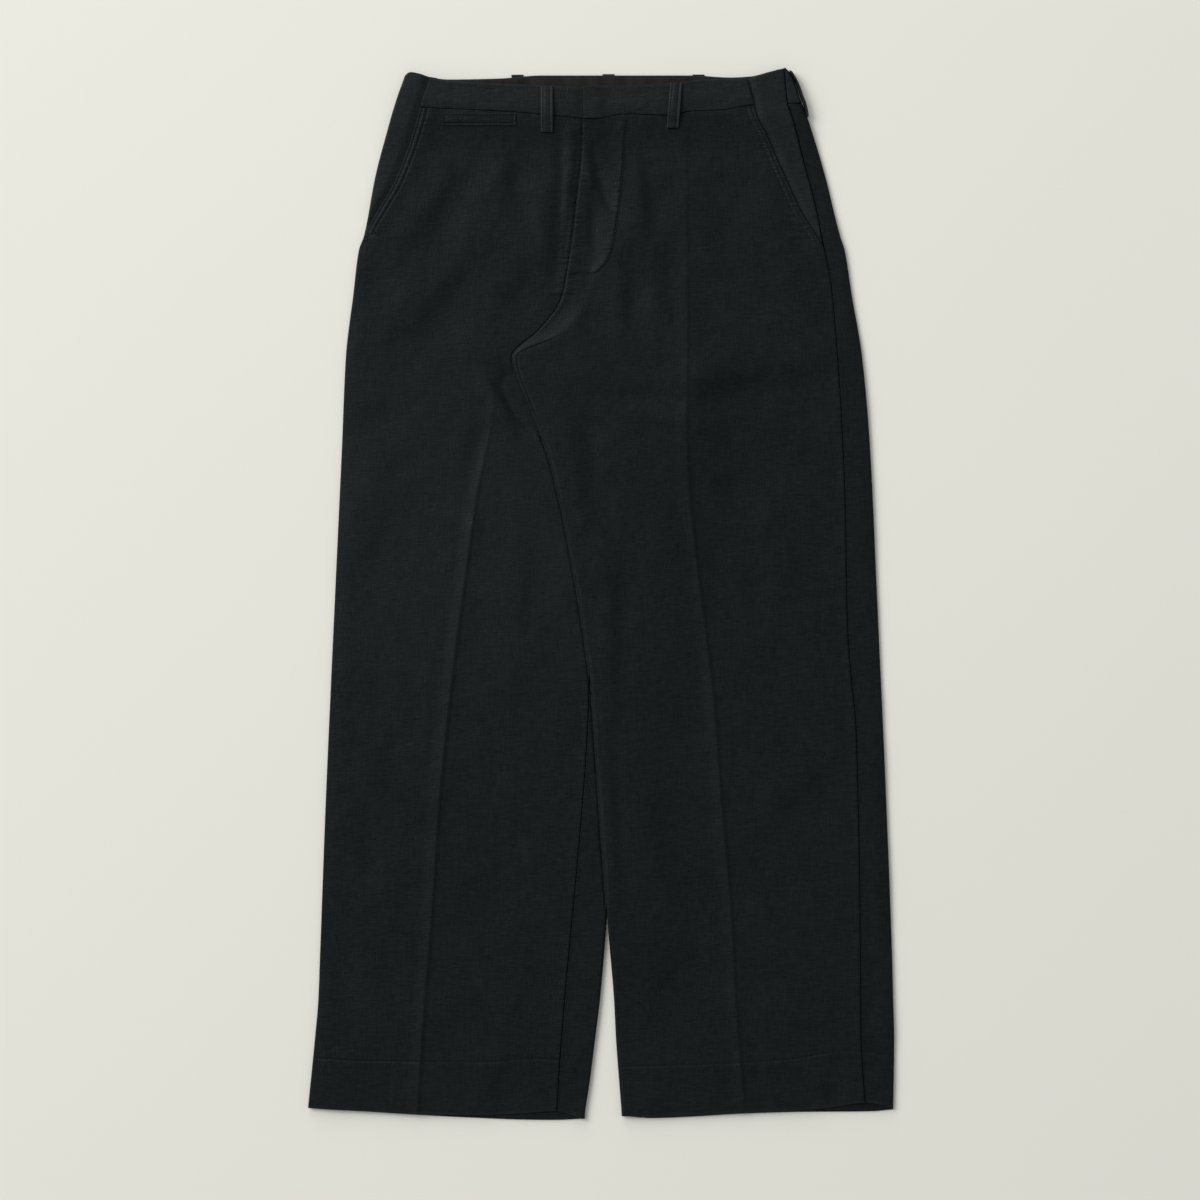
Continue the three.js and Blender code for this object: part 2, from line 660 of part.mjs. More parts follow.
const bandRows = { rows: [510, 500, 490, 482], topZone: 500, bottomZone: 490, thickness: BAND };
const bandBottom = (x) => waistSeam(x) + SEAM / 2;
add(
  "waistband_front_right",
  wall({ ...bandRows, section: bandRight, top: frontTop.right, bottom: bandBottom }),
  MOLESKIN_BAND,
);
add(
  "waistband_front_left",
  wall({ ...bandRows, section: bandLeft, top: frontTop.left, bottom: bandBottom }),
  MOLESKIN_BAND,
);
add(
  "waistband_back",
  wall({
    rows: [516, 508, 499, BACK_SEAM_Y],
    section: bandBack,
    top: backTop,
    topZone: 508,
    thickness: BACK_BAND,
  }),
  MOLESKIN_BAND,
);
const facingXs = steps(-161, 134, 10);
add(
  "waistband_facing",
  wall({
    rows: [514, 507, 499, 492],
    section: () => [...facingXs].reverse().map((x) => at(x, FACING_LEVEL)),
    top: (x) => backTop(x) - FACING_DROP,
    topZone: 507,
    thickness: FACING,
  }),
  BROWN_FACING,
);

// Fly placket and coin pocket

// A value on the straight stretches between the entries of a falling list, the first of which may be moved.
function between(list, t, value, first = list[0]) {
  const next = Math.max(1, list.findIndex((entry) => entry <= t));
  const above = next === 1 ? first : list[next - 1];
  return lerp(value(list[next]), value(above), (t - list[next]) / (above - list[next]));
}
const leftSurface = (x, y) => {
  const inward = x - over(y);
  const level = (row, d) => frontLevel("left", over(row) + d, row);
  const onRow = (row) =>
    inward > FLY_COLUMNS[0] ? level(row, inward) : between(FLY_COLUMNS, inward, (d) => level(row, d));
  return between(ROWS, y, onRow, WAIST_Y) + CLOTH / 2;
};
const rightSurface = (x, y) => {
  const level = (row) => frontLevel("right", x, row);
  return between(ROWS, y, level, waistSeam(x)) + CLOTH / 2;
};
add(
  "fly_placket",
  applied({
    rows: [472.5, 462, 440, 418, 396, 376, 357.5, 347, 341, 335, 330, 325, 320],
    xs: (y) => {
      const width = flyStitch(y) - over(y);
      const inward = [width, ...FLY_COLUMNS].map((d, i) => Math.min(d, width * (1 - i / 8)));
      return inward.map((d) => over(y) + Math.max(d, FLY_INSET));
    },
    seat: leftSurface,
    thickness: PLACKET,
  }),
);
add(
  "coin_pocket_welt",
  applied({
    rows: [WELT.top, lerp(WELT.top, WELT.bottom, 0.5), WELT.bottom],
    xs: () => steps(WELT.left, WELT.right, 6),
    seat: rightSurface,
    thickness: WELT.thickness,
  }),
);

// Belt loops

// A loop on the front: it spans the band and is sewn to the panel below it.
function frontLoop(x, top, side, lean) {
  const bow = (y) => 1.6 * Math.sin(Math.PI * clamp((top - y) / LOOP.length, 0, 1));
  const band = (y) => smoothstep(y, waistSeam(x) - 9, waistSeam(x) - 1);
  const seat = (y) => {
    const panel = frontLevel(side, x, y) + CLOTH / 2;
    return lerp(panel, BAND_LEVEL + BAND / 2, band(y)) + bow(y);
  };
  return applied({
    rows: steps(top, top - LOOP.length, 10),
    xs: (y) => steps(LOOP.width / 2, -LOOP.width / 2, 2).map((d) => x + lean * (top - y) + d),
    seat: (_, y) => seat(y),
    thickness: LOOP.thickness,
  });
}

// A loop under the back: it is pressed flat between the band and the floor.
function backLoop(x, top) {
  const lowest = top - LOOP.length;
  const round = (y) => 0.5 * (1 - smoothstep(Math.min(top - y, y - lowest), 0, 2));
  const rows = [top, top - 2, ...steps(top - 8, lowest + 8, 2), lowest + 2, lowest];
  const xs = steps(x + LOOP.width / 2, x - LOOP.width / 2, 3);
  const grid = (height) => rows.map((y) => xs.map((px) => new THREE.Vector3(px, y, height(y))));
  const upper = (y) => LOOP.back - round(y) - 0.95 * (1 - smoothstep(y, 468, 487));
  return solid(grid(upper), grid(() => 0));
}

// The loop at the left side wraps round the fold and stands a little off it.
function sideLoop() {
  const outline = curve(
    [
      { y: 522.5, x: 190.5 },
      { y: 518, x: 193.5 },
      { y: 510, x: 197.8 },
      { y: 503, x: 200.4 },
      { y: 497, x: 202.4 },
      { y: 491, x: 204.8 },
      { y: 483, x: 206.6 },
      { y: 477, x: 207.6 },
    ],
    "y",
    "x",
  );
  const centre = (FRONT_LEVEL + FRONT_RISE + BACK_BAND_LEVEL) / 2;
  const section = (y) => {
    const radius = 4.4;
    return steps(-78, 78, 6).map((degrees) => {
      const a = degToRad(degrees);
      const x = outline(y) - LOOP.thickness / 2 - radius * (1 - Math.cos(a)) * 0.75;
      return at(x, centre + radius * Math.sin(a));
    });
  };
  return wall({ rows: [522.5, 516, 510, 503, 497, 491, 484, 477], section, thickness: LOOP.thickness });
}

add("belt_loop_front_right", frontLoop(-54, 506.6, "right", 0), MOLESKIN_BAND);
add("belt_loop_front_left", frontLoop(75, 510.6, "left", -0.08), MOLESKIN_BAND);
add("belt_loop_side_left", sideLoop(), MOLESKIN_BAND);
const BACK_LOOPS = [
  { name: "belt_loop_side_right", x: -165, top: 515 },
  { name: "belt_loop_back_right", x: -83.5, top: 519.6 },
  { name: "belt_loop_back_middle", x: 7.5, top: 520.2 },
  { name: "belt_loop_back_left", x: 97.5, top: 519.8 },
];
for (const { name, x, top } of BACK_LOOPS) add(name, backLoop(x, top), MOLESKIN_BAND);

export default trousers;
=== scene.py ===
"""Work trousers laid flat on their back: the finished cloth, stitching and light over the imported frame.

The wearer's left is +X, the waist is +Y and the cloth rests on z = 0, as in the frame. Sizes are in
millimetres until a mesh is written, which is in metres.
"""

from __future__ import annotations

import logging
from collections.abc import Callable, Sequence
from dataclasses import dataclass, field
from enum import Enum

import bmesh
import bpy
import numpy as np
from mathutils import Matrix, Vector


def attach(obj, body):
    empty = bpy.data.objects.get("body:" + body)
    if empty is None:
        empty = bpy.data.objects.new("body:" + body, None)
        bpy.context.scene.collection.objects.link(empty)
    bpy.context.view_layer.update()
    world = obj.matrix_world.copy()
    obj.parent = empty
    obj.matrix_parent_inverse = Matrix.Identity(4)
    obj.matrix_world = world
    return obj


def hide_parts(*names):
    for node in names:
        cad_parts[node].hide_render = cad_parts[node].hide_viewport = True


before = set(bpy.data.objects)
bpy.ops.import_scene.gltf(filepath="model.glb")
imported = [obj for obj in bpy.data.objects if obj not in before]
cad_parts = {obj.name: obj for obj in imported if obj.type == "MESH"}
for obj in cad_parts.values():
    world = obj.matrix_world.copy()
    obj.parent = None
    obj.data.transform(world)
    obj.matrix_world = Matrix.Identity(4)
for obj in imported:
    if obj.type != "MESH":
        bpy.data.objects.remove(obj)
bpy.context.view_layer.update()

LOG = logging.getLogger("trousers")
MM = 0.001
BODY = "root"
Array = np.ndarray
Level = Callable[[Array, Array], Array]


class Side(Enum):
    """The wearer's side that a piece is on."""

    RIGHT = "right"
    LEFT = "left"


def smoothstep(x: Array | float, low: float, high: float) -> Array:
    """0 below low, 1 above high and smooth between them."""
    t = np.clip((x - low) / (high - low), 0, 1)
    return t * t * (3 - 2 * t)


def lerp(a: Array | float, b: Array | float, t: Array | float) -> Array:
    """The value a share t of the way from a to b."""
    return a + (b - a) * t


class Curve:
    """A smooth function through points that doesn't swing past them."""

    def __init__(self, at: Sequence[float], values: Sequence[float]) -> None:
        """Works out the slopes at the points.

        Args:
            at: Where the points are, in any order.
            values: The function's values there.
        """
        order = np.argsort(at)
        self.t = np.asarray(at, float)[order]
        self.v = np.asarray(values, float)[order]
        rise = np.diff(self.v) / np.diff(self.t)
        self.slope = np.empty_like(self.v)
        self.slope[0], self.slope[-1] = rise[0], rise[-1]
        before, after = rise[:-1], rise[1:]
        same = before * after > 0
        total = np.where(same, before + after, 1)
        self.slope[1:-1] = np.where(same, 2 * before * after / total, 0)

    def __call__(self, at: Array | float) -> Array:
        """The values at the given places, with the end values beyond the ends.

        Args:
            at: The places.

        Returns:
            The values.
        """
        s = np.clip(at, self.t[0], self.t[-1])
        i = np.clip(np.searchsorted(self.t, s) - 1, 0, len(self.t) - 2)
        h = self.t[i + 1] - self.t[i]
        u = (s - self.t[i]) / h
        return (
            self.v[i] * (1 + 2 * u) * (1 - u) ** 2
            + self.slope[i] * h * u * (1 - u) ** 2
            + self.v[i + 1] * u * u * (3 - 2 * u)
            + self.slope[i + 1] * h * u * u * (u - 1)
        )


def curves(names: str, *rows: tuple[float, ...]) -> dict[str, Curve]:
    """Curves over the first column of a table, one for each other column, by its name.

    Args:
        names: The columns' names, first that of the places.
        *rows: The table's rows.

    Returns:
        The curves.
    """
    first, *others = names.split()
    columns = dict(zip([first, *others], zip(*rows)))
    return {name: Curve(columns[first], columns[name]) for name in others}


@dataclass(frozen=True)
class Fold:
    """A soft fold along a straight line: a trough where depth is positive and a ridge where it is negative.

    The bank that falls towards the lower right is the steeper one, as the cloth was drawn that way.
    """

    side: Side
    start: tuple[float, float]
    end: tuple[float, float]
    depth: float
    half: float

    def at(self, x: Array, y: Array) -> Array:
        """How far the fold lowers the cloth at each point.

        Args:
            x: Places across.
            y: Places along.

        Returns:
            The depths.
        """
        run = np.subtract(self.end, self.start)
        from_x, from_y = x - self.start[0], y - self.start[1]
        along = (from_x * run[0] + from_y * run[1]) / (run @ run)
        held = np.clip(along, 0, 1)
        away = np.hypot(from_x - held * run[0], from_y - held * run[1])
        fade = 0.35 + 0.65 * np.sin(np.pi * np.clip(along, 0.08, 0.92))
        across = (from_x * run[1] - from_y * run[0]) / np.hypot(*run)
        lower_right = np.sign(0.85 * run[1] + 0.5 * run[0]) * across
        gentle = smoothstep(np.sign(self.depth) * lower_right, -1, 1)
        return self.depth * fade * np.exp(-((away / (self.half * (1 + 0.9 * gentle))) ** 2))


R, L = Side.RIGHT, Side.LEFT
# The largest folds, which the solids have too.
LARGE_FOLDS = (
    Fold(L, (88, 196), (150, 204), 1.9, 13),
    Fold(L, (150, 204), (226, 218), 1.1, 11),
    Fold(L, (176, -12), (236, -3), 0.9, 9),
    Fold(L, (-8, 298), (-17, 246), 1.0, 8),
    Fold(R, (-99, 228), (-82, 168), 2.0, 9),
    Fold(R, (-37, 462), (-40, 424), 1.0, 6),
    Fold(R, (-83, 436), (-84, 400), 0.7, 12),
)
# Smaller ones, from the waist down.
SMALL_FOLDS = (
    Fold(R, (-29, 466), (-32, 350), -2.2, 5),
    Fold(R, (-36, 424), (-45, 289), 1.9, 6.5),
    Fold(R, (-22, 458), (-36, 330), 1.6, 4),
    Fold(R, (-61, 404), (-61, 332), -1.2, 8),
    Fold(R, (-83, 436), (-84, 400), 0.97, 8),
    Fold(R, (-143, 407), (-169, 355), 1.9, 12),
    Fold(R, (-120, 372), (-122, 330), -0.97, 11),
    Fold(R, (-190, 380), (-214, 330), -0.97, 12),
    Fold(R, (-226, 332), (-230, 300), 1.2, 10),
    Fold(R, (-120, 330), (-170, 262), 1.4, 18),
    Fold(R, (-66, 322), (-96, 276), 1.8, 11),
    Fold(L, (-8, 446), (-1, 404), 2.2, 3.5),
    Fold(L, (-9, 402), (-10, 350), 1.4, 4),
    Fold(L, (0, 404), (12, 382), 1.8, 4),
    Fold(L, (-4, 380), (4, 340), -0.3, 6),
    Fold(L, (49, 424), (54, 358), 1.9, 9),
    Fold(L, (30, 332), (33, 268), 1.9, 8),
    Fold(L, (64, 334), (68, 292), 1.6, 9),
    Fold(L, (122, 400), (126, 320), 1.4, 14),
    Fold(L, (160, 420), (186, 356), -0.97, 10),
    Fold(L, (150, 320), (176, 262), 1.2, 16),
    Fold(L, (-26, 300), (-50, 262), 0.6, 7),
    Fold(L, (4, 262), (20, 214), 1.2, 12),
    Fold(L, (-7, 200), (72, 196), 1.2, 6),
    Fold(L, (-26, 184), (0, 140), 2.2, 11),
    Fold(R, (-118, 186), (-132, 120), 1.6, 8),
    Fold(R, (-128, 76), (-124, 60), -1.6, 5),
    Fold(R, (-200, 190), (-240, 168), 1.2, 12),
    Fold(R, (-196, 96), (-226, 20), 1.2, 18),
    Fold(R, (-62, 60), (-70, -40), 0.97, 16),
    Fold(L, (110, 96), (170, 120), 1.2, 14),
    Fold(L, (176, -12), (206, -4), 0.5, 4),
    Fold(L, (186, -20), (240, -14), -0.4, 5),
    Fold(L, (24, 40), (26, -120), 1.9, 14),
    Fold(L, (14, -141), (27, -305), 1.6, 10),
    Fold(L, (196, 60), (214, -40), 0.97, 14),
    Fold(R, (-90, -40), (-140, -20), 0.97, 16),
    Fold(R, (-196, -120), (-240, -96), 1.2, 18),
    Fold(L, (60, -150), (72, -260), 1.6, 16),
    Fold(L, (170, -250), (216, -190), 2.0, 18),
    Fold(R, (-90, -250), (-110, -330), 0.97, 18),
    Fold(R, (-269, -330), (-256, -436), 1.2, 10),
    Fold(L, (132, -376), (192, -390), 1.9, 12),
    Fold(L, (70, -400), (76, -450), 1.6, 12),
    Fold(L, (235, -470), (229, -506), 2.2, 7),
    Fold(R, (-88, -472), (-101, -506), 1.9, 8),
    Fold(R, (-150, -440), (-140, -500), 0.78, 12),
    Fold(R, (-94, 212), (-74, 176), 2.2, 6.5),
    Fold(R, (-112, 226), (-96, 196), 1.2, 7),
    Fold(L, (-14, 160), (0, 78), 1.4, 10),
    Fold(L, (-56, 176), (-38, 120), -1.1, 6),
    Fold(R, (-150, 300), (-196, 240), 1.1, 13),
    Fold(R, (-196, 300), (-222, 250), -0.94, 9),
    Fold(L, (96, 300), (112, 240), 1.1, 12),
    Fold(L, (196, 330), (216, 280), 1.1, 10),
    Fold(L, (40, 178), (96, 170), -0.94, 7),
    Fold(R, (-176, 140), (-210, 120), 0.94, 9),
    Fold(R, (-100, -110), (-106, -200), 0.94, 11),
    Fold(L, (150, 40), (160, -60), 0.94, 13),
    Fold(L, (176, -100), (196, -190), 0.94, 12),
    Fold(R, (-226, -200), (-236, -300), 0.94, 12),
    Fold(R, (-60, -340), (-72, -420), 0.94, 10),
    Fold(L, (90, -300), (100, -380), 0.94, 11),
    Fold(R, (-88, 206), (-68, 170), 7.5, 8),
    Fold(R, (-118, 220), (-88, 164), -1.6, 5),
    Fold(R, (-156, 416), (-184, 362), -1.4, 9),
    Fold(R, (-98, 438), (-100, 396), -1.4, 8),
    Fold(R, (-48, 444), (-57, 318), -1.2, 6),
    Fold(L, (-15, 440), (-10, 404), -0.8, 3.5),
    Fold(L, (37, 424), (41, 358), -1.1, 7),
    Fold(L, (84, 215), (150, 223), -1.9, 12),
    Fold(L, (150, 223), (226, 236), -1.2, 11),
    Fold(L, (20, 332), (22, 268), -1.1, 7),
    Fold(L, (7, 40), (9, -120), -1.5, 8),
    Fold(L, (5, -141), (15, -305), -1.3, 6),
    Fold(L, (-36, 160), (-19, 78), -1.5, 7),
    Fold(R, (-80, 60), (-88, -40), -1.0, 12),
    Fold(L, (168, -226), (210, -166), -1.5, 14),
    Fold(R, (-214, 110), (-244, 34), -0.9, 14),
    Fold(R, (-140, 340), (-186, 276), -1.1, 12),
)


def lattice(x: Array, y: Array, pitch: float, seed: int) -> Array:
    """Smooth uneven values from -1 to 1 with bumps about pitch apart, the same for the same seed.

    Args:
        x: Places across.
        y: Places along.
        pitch: Distance between bumps.
        seed: Which pattern.

    Returns:
        The values.
    """
    grid = np.random.default_rng(seed).uniform(-1, 1, (256, 256))
    u, v = np.asarray(x) / pitch + 100, np.asarray(y) / pitch + 100
    i, j = np.floor(u).astype(int) % 256, np.floor(v).astype(int) % 256
    s, t = smoothstep(u - np.floor(u), 0, 1), smoothstep(v - np.floor(v), 0, 1)
    i2, j2 = (i + 1) % 256, (j + 1) % 256
    return lerp(lerp(grid[i, j], grid[i2, j], s), lerp(grid[i, j2], grid[i2, j2], s), t)


def near(distance: Array, width: float) -> Array:
    """1 at no distance, fading over a width."""
    return np.exp(-((distance / width) ** 2))


@dataclass(frozen=True)
class Lay:
    """How the trousers lie: seams, folds and levels of the middle of the cloth, as functions of the place."""

    cloth: float = 1.2
    hollow: float = 2.6
    gap: float = 0.4
    seam: float = 0.3
    crotch_y: float = 237
    roll_end_y: float = 262
    curl_end_y: float = 180
    back_fold_top_y: float = 335
    centre_back_x: float = 6
    outseam_under: float = 12
    inseam_under: float = 18
    crease_half: float = 14
    crease_fine: float = 3.4
    ramp: float = 28
    front_ramp: float = 85
    lap_end: tuple[float, float] = (11, 26)
    roll: float = 28
    front_rise: float = 3.1
    back_rise: float = 2.3
    pocket_drop: float = 1.7
    pocket_tuck: float = 8
    outer_roll: float = 0.9
    channel: float = 0.95
    mouth_rows: tuple[float, float] = (2.8, 8)
    mouth_end: dict[Side, float] = field(default_factory=lambda: {R: 356.5, L: 347})

    outer = curves(
        "y right left",
        (524, -194, 187), (516, -196.5, 191.5), (495, -204, 199), (465, -213, 210), (420, -225, 223.5),
        (358, -237, 239), (344, -242, 243.5), (300, -247.5, 250.5), (237, -255, 261), (145, -259, 269),
        (-5, -266, 276), (-205, -275, 285), (-365, -281, 291), (-405, -282.5, 292), (-445, -286, 293),
        (-515, -293, 292),
    )
    middle = curves(
        "y over under",
        (505, -18, 12), (452, -17.6, 12), (391, -23.5, 12), (335, -30.5, 12), (325, -32, 20),
        (294, -39, 50), (264, -61, 78), (237, -88, 94), (184, -71, 76.5), (134, -51, 60), (44, -31, 41),
        (-86, -11, 21), (-145, -6, 16), (-235, 0, 11), (-345, 8, 4.2), (-405, 13, -1), (-445, 15, -6),
        (-485, 18, -11), (-517, 20.5, -16),
    )
    seat = curves("y x", (335, 3), (325, -2), (294, -24), (264, -50), (248, -70), (240, -78))
    inseam = curves(
        "y x",
        (237, -85), (184, -66), (134, -46), (44, -25), (-60, -11), (-100, -12), (-145, -14), (-465, -41),
        (-515, -44),
    )
    outseam = curves(
        "y x",
        (525, 183), (492, 186), (473, 192), (431, 203), (387, 214.6), (345, 223), (312, 229.6), (254, 235),
        (181, 240), (84, 244), (-25, 246), (-73, 249), (-140, 255), (-350, 259), (-436, 259.5), (-513, 264),
    )
    mouths = curves(
        "y right left",
        (514, -171, 145.5), (487, -180, 153), (474, -183.5, 157), (462, -187, 164), (431, -198, 177.5),
        (406, -209, 189), (386, -221, 198), (358, -236.2, 215.5), (347, -239, 222),
    )
    creases = curves(
        "y right left right_height left_height",
        (480, -100, 86, 0, 0), (414, -100, 85, 0, 0.5), (254, -103, 86, 0, 1.0), (170, -110, 85, 0.6, 1.6),
        (106, -123, 87.5, 1.8, 2.2), (17, -136, 97, 2.4, 2.4), (-105, -151.5, 112, 2.4, 2.4),
        (-210, -162, 120, 2.4, 2.4), (-314, -169, 129, 2.4, 2.4), (-435, -178.6, 136, 2.4, 2.4),
        (-516, -183.7, 143.5, 2, 2),
    )
    top_right = curves(
        "x y", (-171, 514.3), (-160, 513), (-113, 509.5), (-60, 507.8), (-17, 505.5), (-8, 505.2)
    )
    top_left = curves(
        "x y",
        (-18, 506), (-12, 507.2), (25, 507.4), (70, 509.7), (98, 513), (146, 514.6), (156, 517),
        (169, 521.2), (183, 525.2),
    )
    waist = curves(
        "x y",
        (-181, 486), (-129, 483.5), (-83, 481), (-41, 477), (-7, 474.2), (25, 479.3), (66, 478), (90, 482),
        (115, 483), (153, 489),
    )
    top_back = curves(
        "x y",
        (-197, 516.5), (-191, 521.3), (-181, 519.5), (-171, 516.5), (-151, 514.5), (-101, 515.5),
        (-60, 518.5), (90, 518.5), (129, 516.5), (149, 517.5), (169, 522.5), (184, 525.5), (191, 519.5),
    )
    hem_right = curves(
        "x upper lower",
        (-292, -513, -513), (-240, -516, -516.5), (-179, -519, -520.5), (-117, -519.5, -523.5),
        (-76, -518, -525), (-46, -516, -525.3), (-19, -523.5, -524),
    )
    hem_left = curves(
        "x upper lower",
        (20, -521, -521), (50, -521.2, -523.5), (91, -519.8, -522), (142, -517.5, -519),
        (203, -514.5, -517.2), (234, -511.5, -517), (263, -507.3, -516.8), (285, -511, -515.8),
        (292, -514, -514.5),
    )
    fly = curves(
        "y x",
        (476, 26), (462, 24.4), (428, 22), (395, 19), (375, 16.4), (353, 13), (338, 9), (326, 1), (321, -6),
        (318.5, -20),
    )
    hem_stitch = {
        R: curves(
            "x y", (-286, -463.1), (-230, -466.1), (-117, -467.1), (-60, -464), (-26, -467), (-9, -469.5)
        ),
        L: curves(
            "x y", (19, -471.5), (81, -470.5), (134, -468.2), (183, -465.1), (250, -455.9), (291, -461)
        ),
    }

    @property
    def floor_level(self) -> float:
        """Middle of the cloth that lies on the floor."""
        return self.cloth / 2

    @property
    def top_level(self) -> float:
        """Middle of the cloth on top of a leg."""
        return self.cloth * 1.5 + self.hollow

    @property
    def overlay(self) -> float:
        """How far a leg is lifted by the leg under it."""
        return 2 * self.cloth + self.hollow + self.gap

    def over(self, y: Array) -> Array:
        """The left front's free edge: fly, rise and the leg's inner fold."""
        return self.middle["over"](y)

    def under(self, y: Array) -> Array:
        """The right leg's inner fold, below the left leg."""
        return self.middle["under"](y)

    def mouth(self, side: Side, y: Array) -> Array:
        """A slanted pocket's edge."""
        return self.mouths[side.value](y)

    def edge(self, side: Side, y: Array) -> Array:
        """A leg's outer fold."""
        return self.outer[side.value](y)

    def inseam_wrap(self, y: Array) -> Array:
        """How far the left front is turned under at the inner fold."""
        return self.inseam_under * np.clip(self.curl_end_y - y, 0, 700) / 700

    def ramp_start(self, y: Array) -> Array:
        """Where the left leg starts to come down to the floor."""
        return np.maximum(self.under(y) + 2, self.over(y) + self.inseam_wrap(y) + 9)

    def cover(self, x: Array, y: Array) -> Array:
        """1 where the left leg lies on the right one, 0 where it lies on the floor."""
        return 1 - smoothstep(x - self.ramp_start(y), 0, self.ramp)

    def front_cover(self, x: Array, y: Array) -> Array:
        """The same for the front, which comes down more gently."""
        return 1 - smoothstep(x - self.ramp_start(y), 0, self.front_ramp)

    def furrow(self, x: Array, y: Array) -> Array:
        """How far the cloth under the left leg's free edge is pressed in beside it."""
        return 0.85 * near(x - self.over(y) + 1.1, 1.1)

    def back_level(self, side: Side, x: Array, y: Array) -> Array:
        """Middle of a back where it lies on the floor or on the other leg.

        Args:
            side: The wearer's side.
            x: Places across.
            y: Places along.

        Returns:
            The heights.
        """
        level = self.floor_level + self.back_rise * smoothstep(y, 455, 485)
        if side is R:
            return level + 0 * x
        fade = smoothstep(-y, -352, -337) * smoothstep(y, -372, -337)
        close = 1 - 0.06 * smoothstep(y, 228, 245)
        return level + self.overlay * self.cover(x, y) * fade * close

    def crease(self, side: Side, x: Array, y: Array) -> Array:
        """Height of the pressed crease, a fine ridge that is steep on its +X side, on a low broad one.

        Args:
            side: The wearer's side.
            x: Places across.
            y: Places along.

        Returns:
            The heights.
        """
        past = x - self.creases[side.value](y)
        height = self.creases[side.value + "_height"](y)
        fine = np.clip(1 - np.hypot(past, 0.3) / np.where(past > 0, self.crease_fine, 11), 0, 1) ** 1.2
        return height * (0.5 * fine + 0.22 * np.clip(1 - np.abs(past) / self.crease_half, 0, 1) ** 1.3)

    def inside_mouth(self, side: Side, x: Array, y: Array) -> Array:
        """How far a point of a front is from the pocket's edge."""
        return x - self.mouth(side, y) if side is R else self.mouth(side, y) - x

    def channels(self, side: Side, x: Array, y: Array) -> Array:
        """How far the stitch rows of pocket and hem sink, with a swelling between the pocket's two.

        Args:
            side: The wearer's side.
            x: Places across.
            y: Places along.

        Returns:
            The depths.
        """
        inward = self.inside_mouth(side, x, y)
        rows = sum(near(inward - d, self.channel) for d in self.mouth_rows)
        swell = near(inward - sum(self.mouth_rows) / 2, 2)
        beside = smoothstep(y, self.mouth_end[side] + 2, self.mouth_end[side] + 8)
        hem = near(self.hem_stitch[side]["y"](x) - y, self.channel)
        return beside * (0.7 * rows - 0.3 * swell) + 0.5 * hem

    def roll_down(self, side: Side, x: Array, y: Array) -> Array:
        """How far a front sinks towards its outer fold."""
        return self.outer_roll * near(x - self.edge(side, y), 8)

    def relief(self, side: Side, x: Array, y: Array) -> Array:
        """Creases, folds, stitch rows and unevenness of a front.

        Args:
            side: The wearer's side.
            x: Places across.
            y: Places along.

        Returns:
            The heights over the plain front.
        """
        height = self.crease(side, x, y) - self.channels(side, x, y)
        for fold in (f for f in LARGE_FOLDS + SMALL_FOLDS if f.side is side):
            height = height - fold.at(x, y)
        uneven = 0.5 * lattice(0.8 * x, 0.6 * y, 42, 3) + 0.34 * lattice(x, 0.7 * y, 19, 4)
        height = height + uneven + 0.17 * lattice(x, 0.7 * y, 9, 5)
        if side is R:
            height = np.where(height > 0, height * smoothstep(self.over(y) - x, 3, 16), height)
            height = height - self.furrow(x, y)
        else:
            lip = smoothstep(y, 176, 190) * (1 - smoothstep(y, 234, 246))
            height = height - 0.6 * lip * near(x - self.over(y) - 4.4, 0.9)
        height = np.where(y < -470, np.minimum(height, 2.2), height)
        room = lerp(2.5, 1.0, smoothstep(-y, 454, 464))
        return np.maximum(height, -room)

    def plain_level(self, y: Array) -> Array:
        """Middle of a front without its folds, which rises at the waist."""
        return self.top_level + self.front_rise * smoothstep(y, 440, 480)

    def front_level(self, side: Side, x: Array, y: Array) -> Array:
        """Middle of a front, with its folds.

        Args:
            side: The wearer's side.
            x: Places across.
            y: Places along.

        Returns:
            The heights.
        """
        level = self.plain_level(y) + self.relief(side, x, y) - self.roll_down(side, x, y)
        if side is R:
            return level
        inward = x - self.over(y)
        lap = (self.cloth + self.gap) * (1 - smoothstep(inward, *self.lap_end)) * smoothstep(y, 228, 240)
        fade = smoothstep(-y, -432, -337) * smoothstep(y, -405, -337)
        pressed = 1 - 0.42 * smoothstep(y, 232, 320)
        lift = self.overlay * self.front_cover(x, y) * fade * pressed
        rolled = smoothstep(inward, 0, self.roll + 55 * smoothstep(y, 290, 400))
        eased = lerp(1, rolled, smoothstep(y, self.crotch_y, self.roll_end_y))
        return level + lap + np.maximum(0, lift - lap) * eased

    def hem(self, side: Side, x: Array, z: Array) -> Array:
        """The hem's edge, from the cloth on the floor to the cloth on top.

        Args:
            side: The wearer's side.
            x: Places across.
            z: Heights.

        Returns:
            The edge's y.
        """
        edges = self.hem_right if side is R else self.hem_left
        upper = smoothstep(z, self.floor_level + self.cloth, self.top_level - self.cloth / 2)
        return lerp(edges["lower"](x), edges["upper"](x), upper)

    def hem_lower(self, side: Side, x: Array) -> Array:
        """The upper cloth's hem edge."""
        return (self.hem_right if side is R else self.hem_left)["upper"](x)

    def inner_fold(self, y: Array) -> tuple[Array, Array, Array, Array]:
        """Centre, radius, lower level and length round to the seam of the left leg's inner fold.

        Args:
            y: Places along.

        Returns:
            The four measures.
        """
        low = self.back_level(L, self.over(y), y)
        high = self.top_level + low - self.floor_level
        radius = (high - low) / 2
        half = np.pi * radius
        plain = smoothstep(y, self.curl_end_y, self.crotch_y)
        round_length = lerp(half + 1 + self.inseam_wrap(y), half / 2, plain)
        return self.over(y) + radius + self.cloth / 2, radius, low, round_length

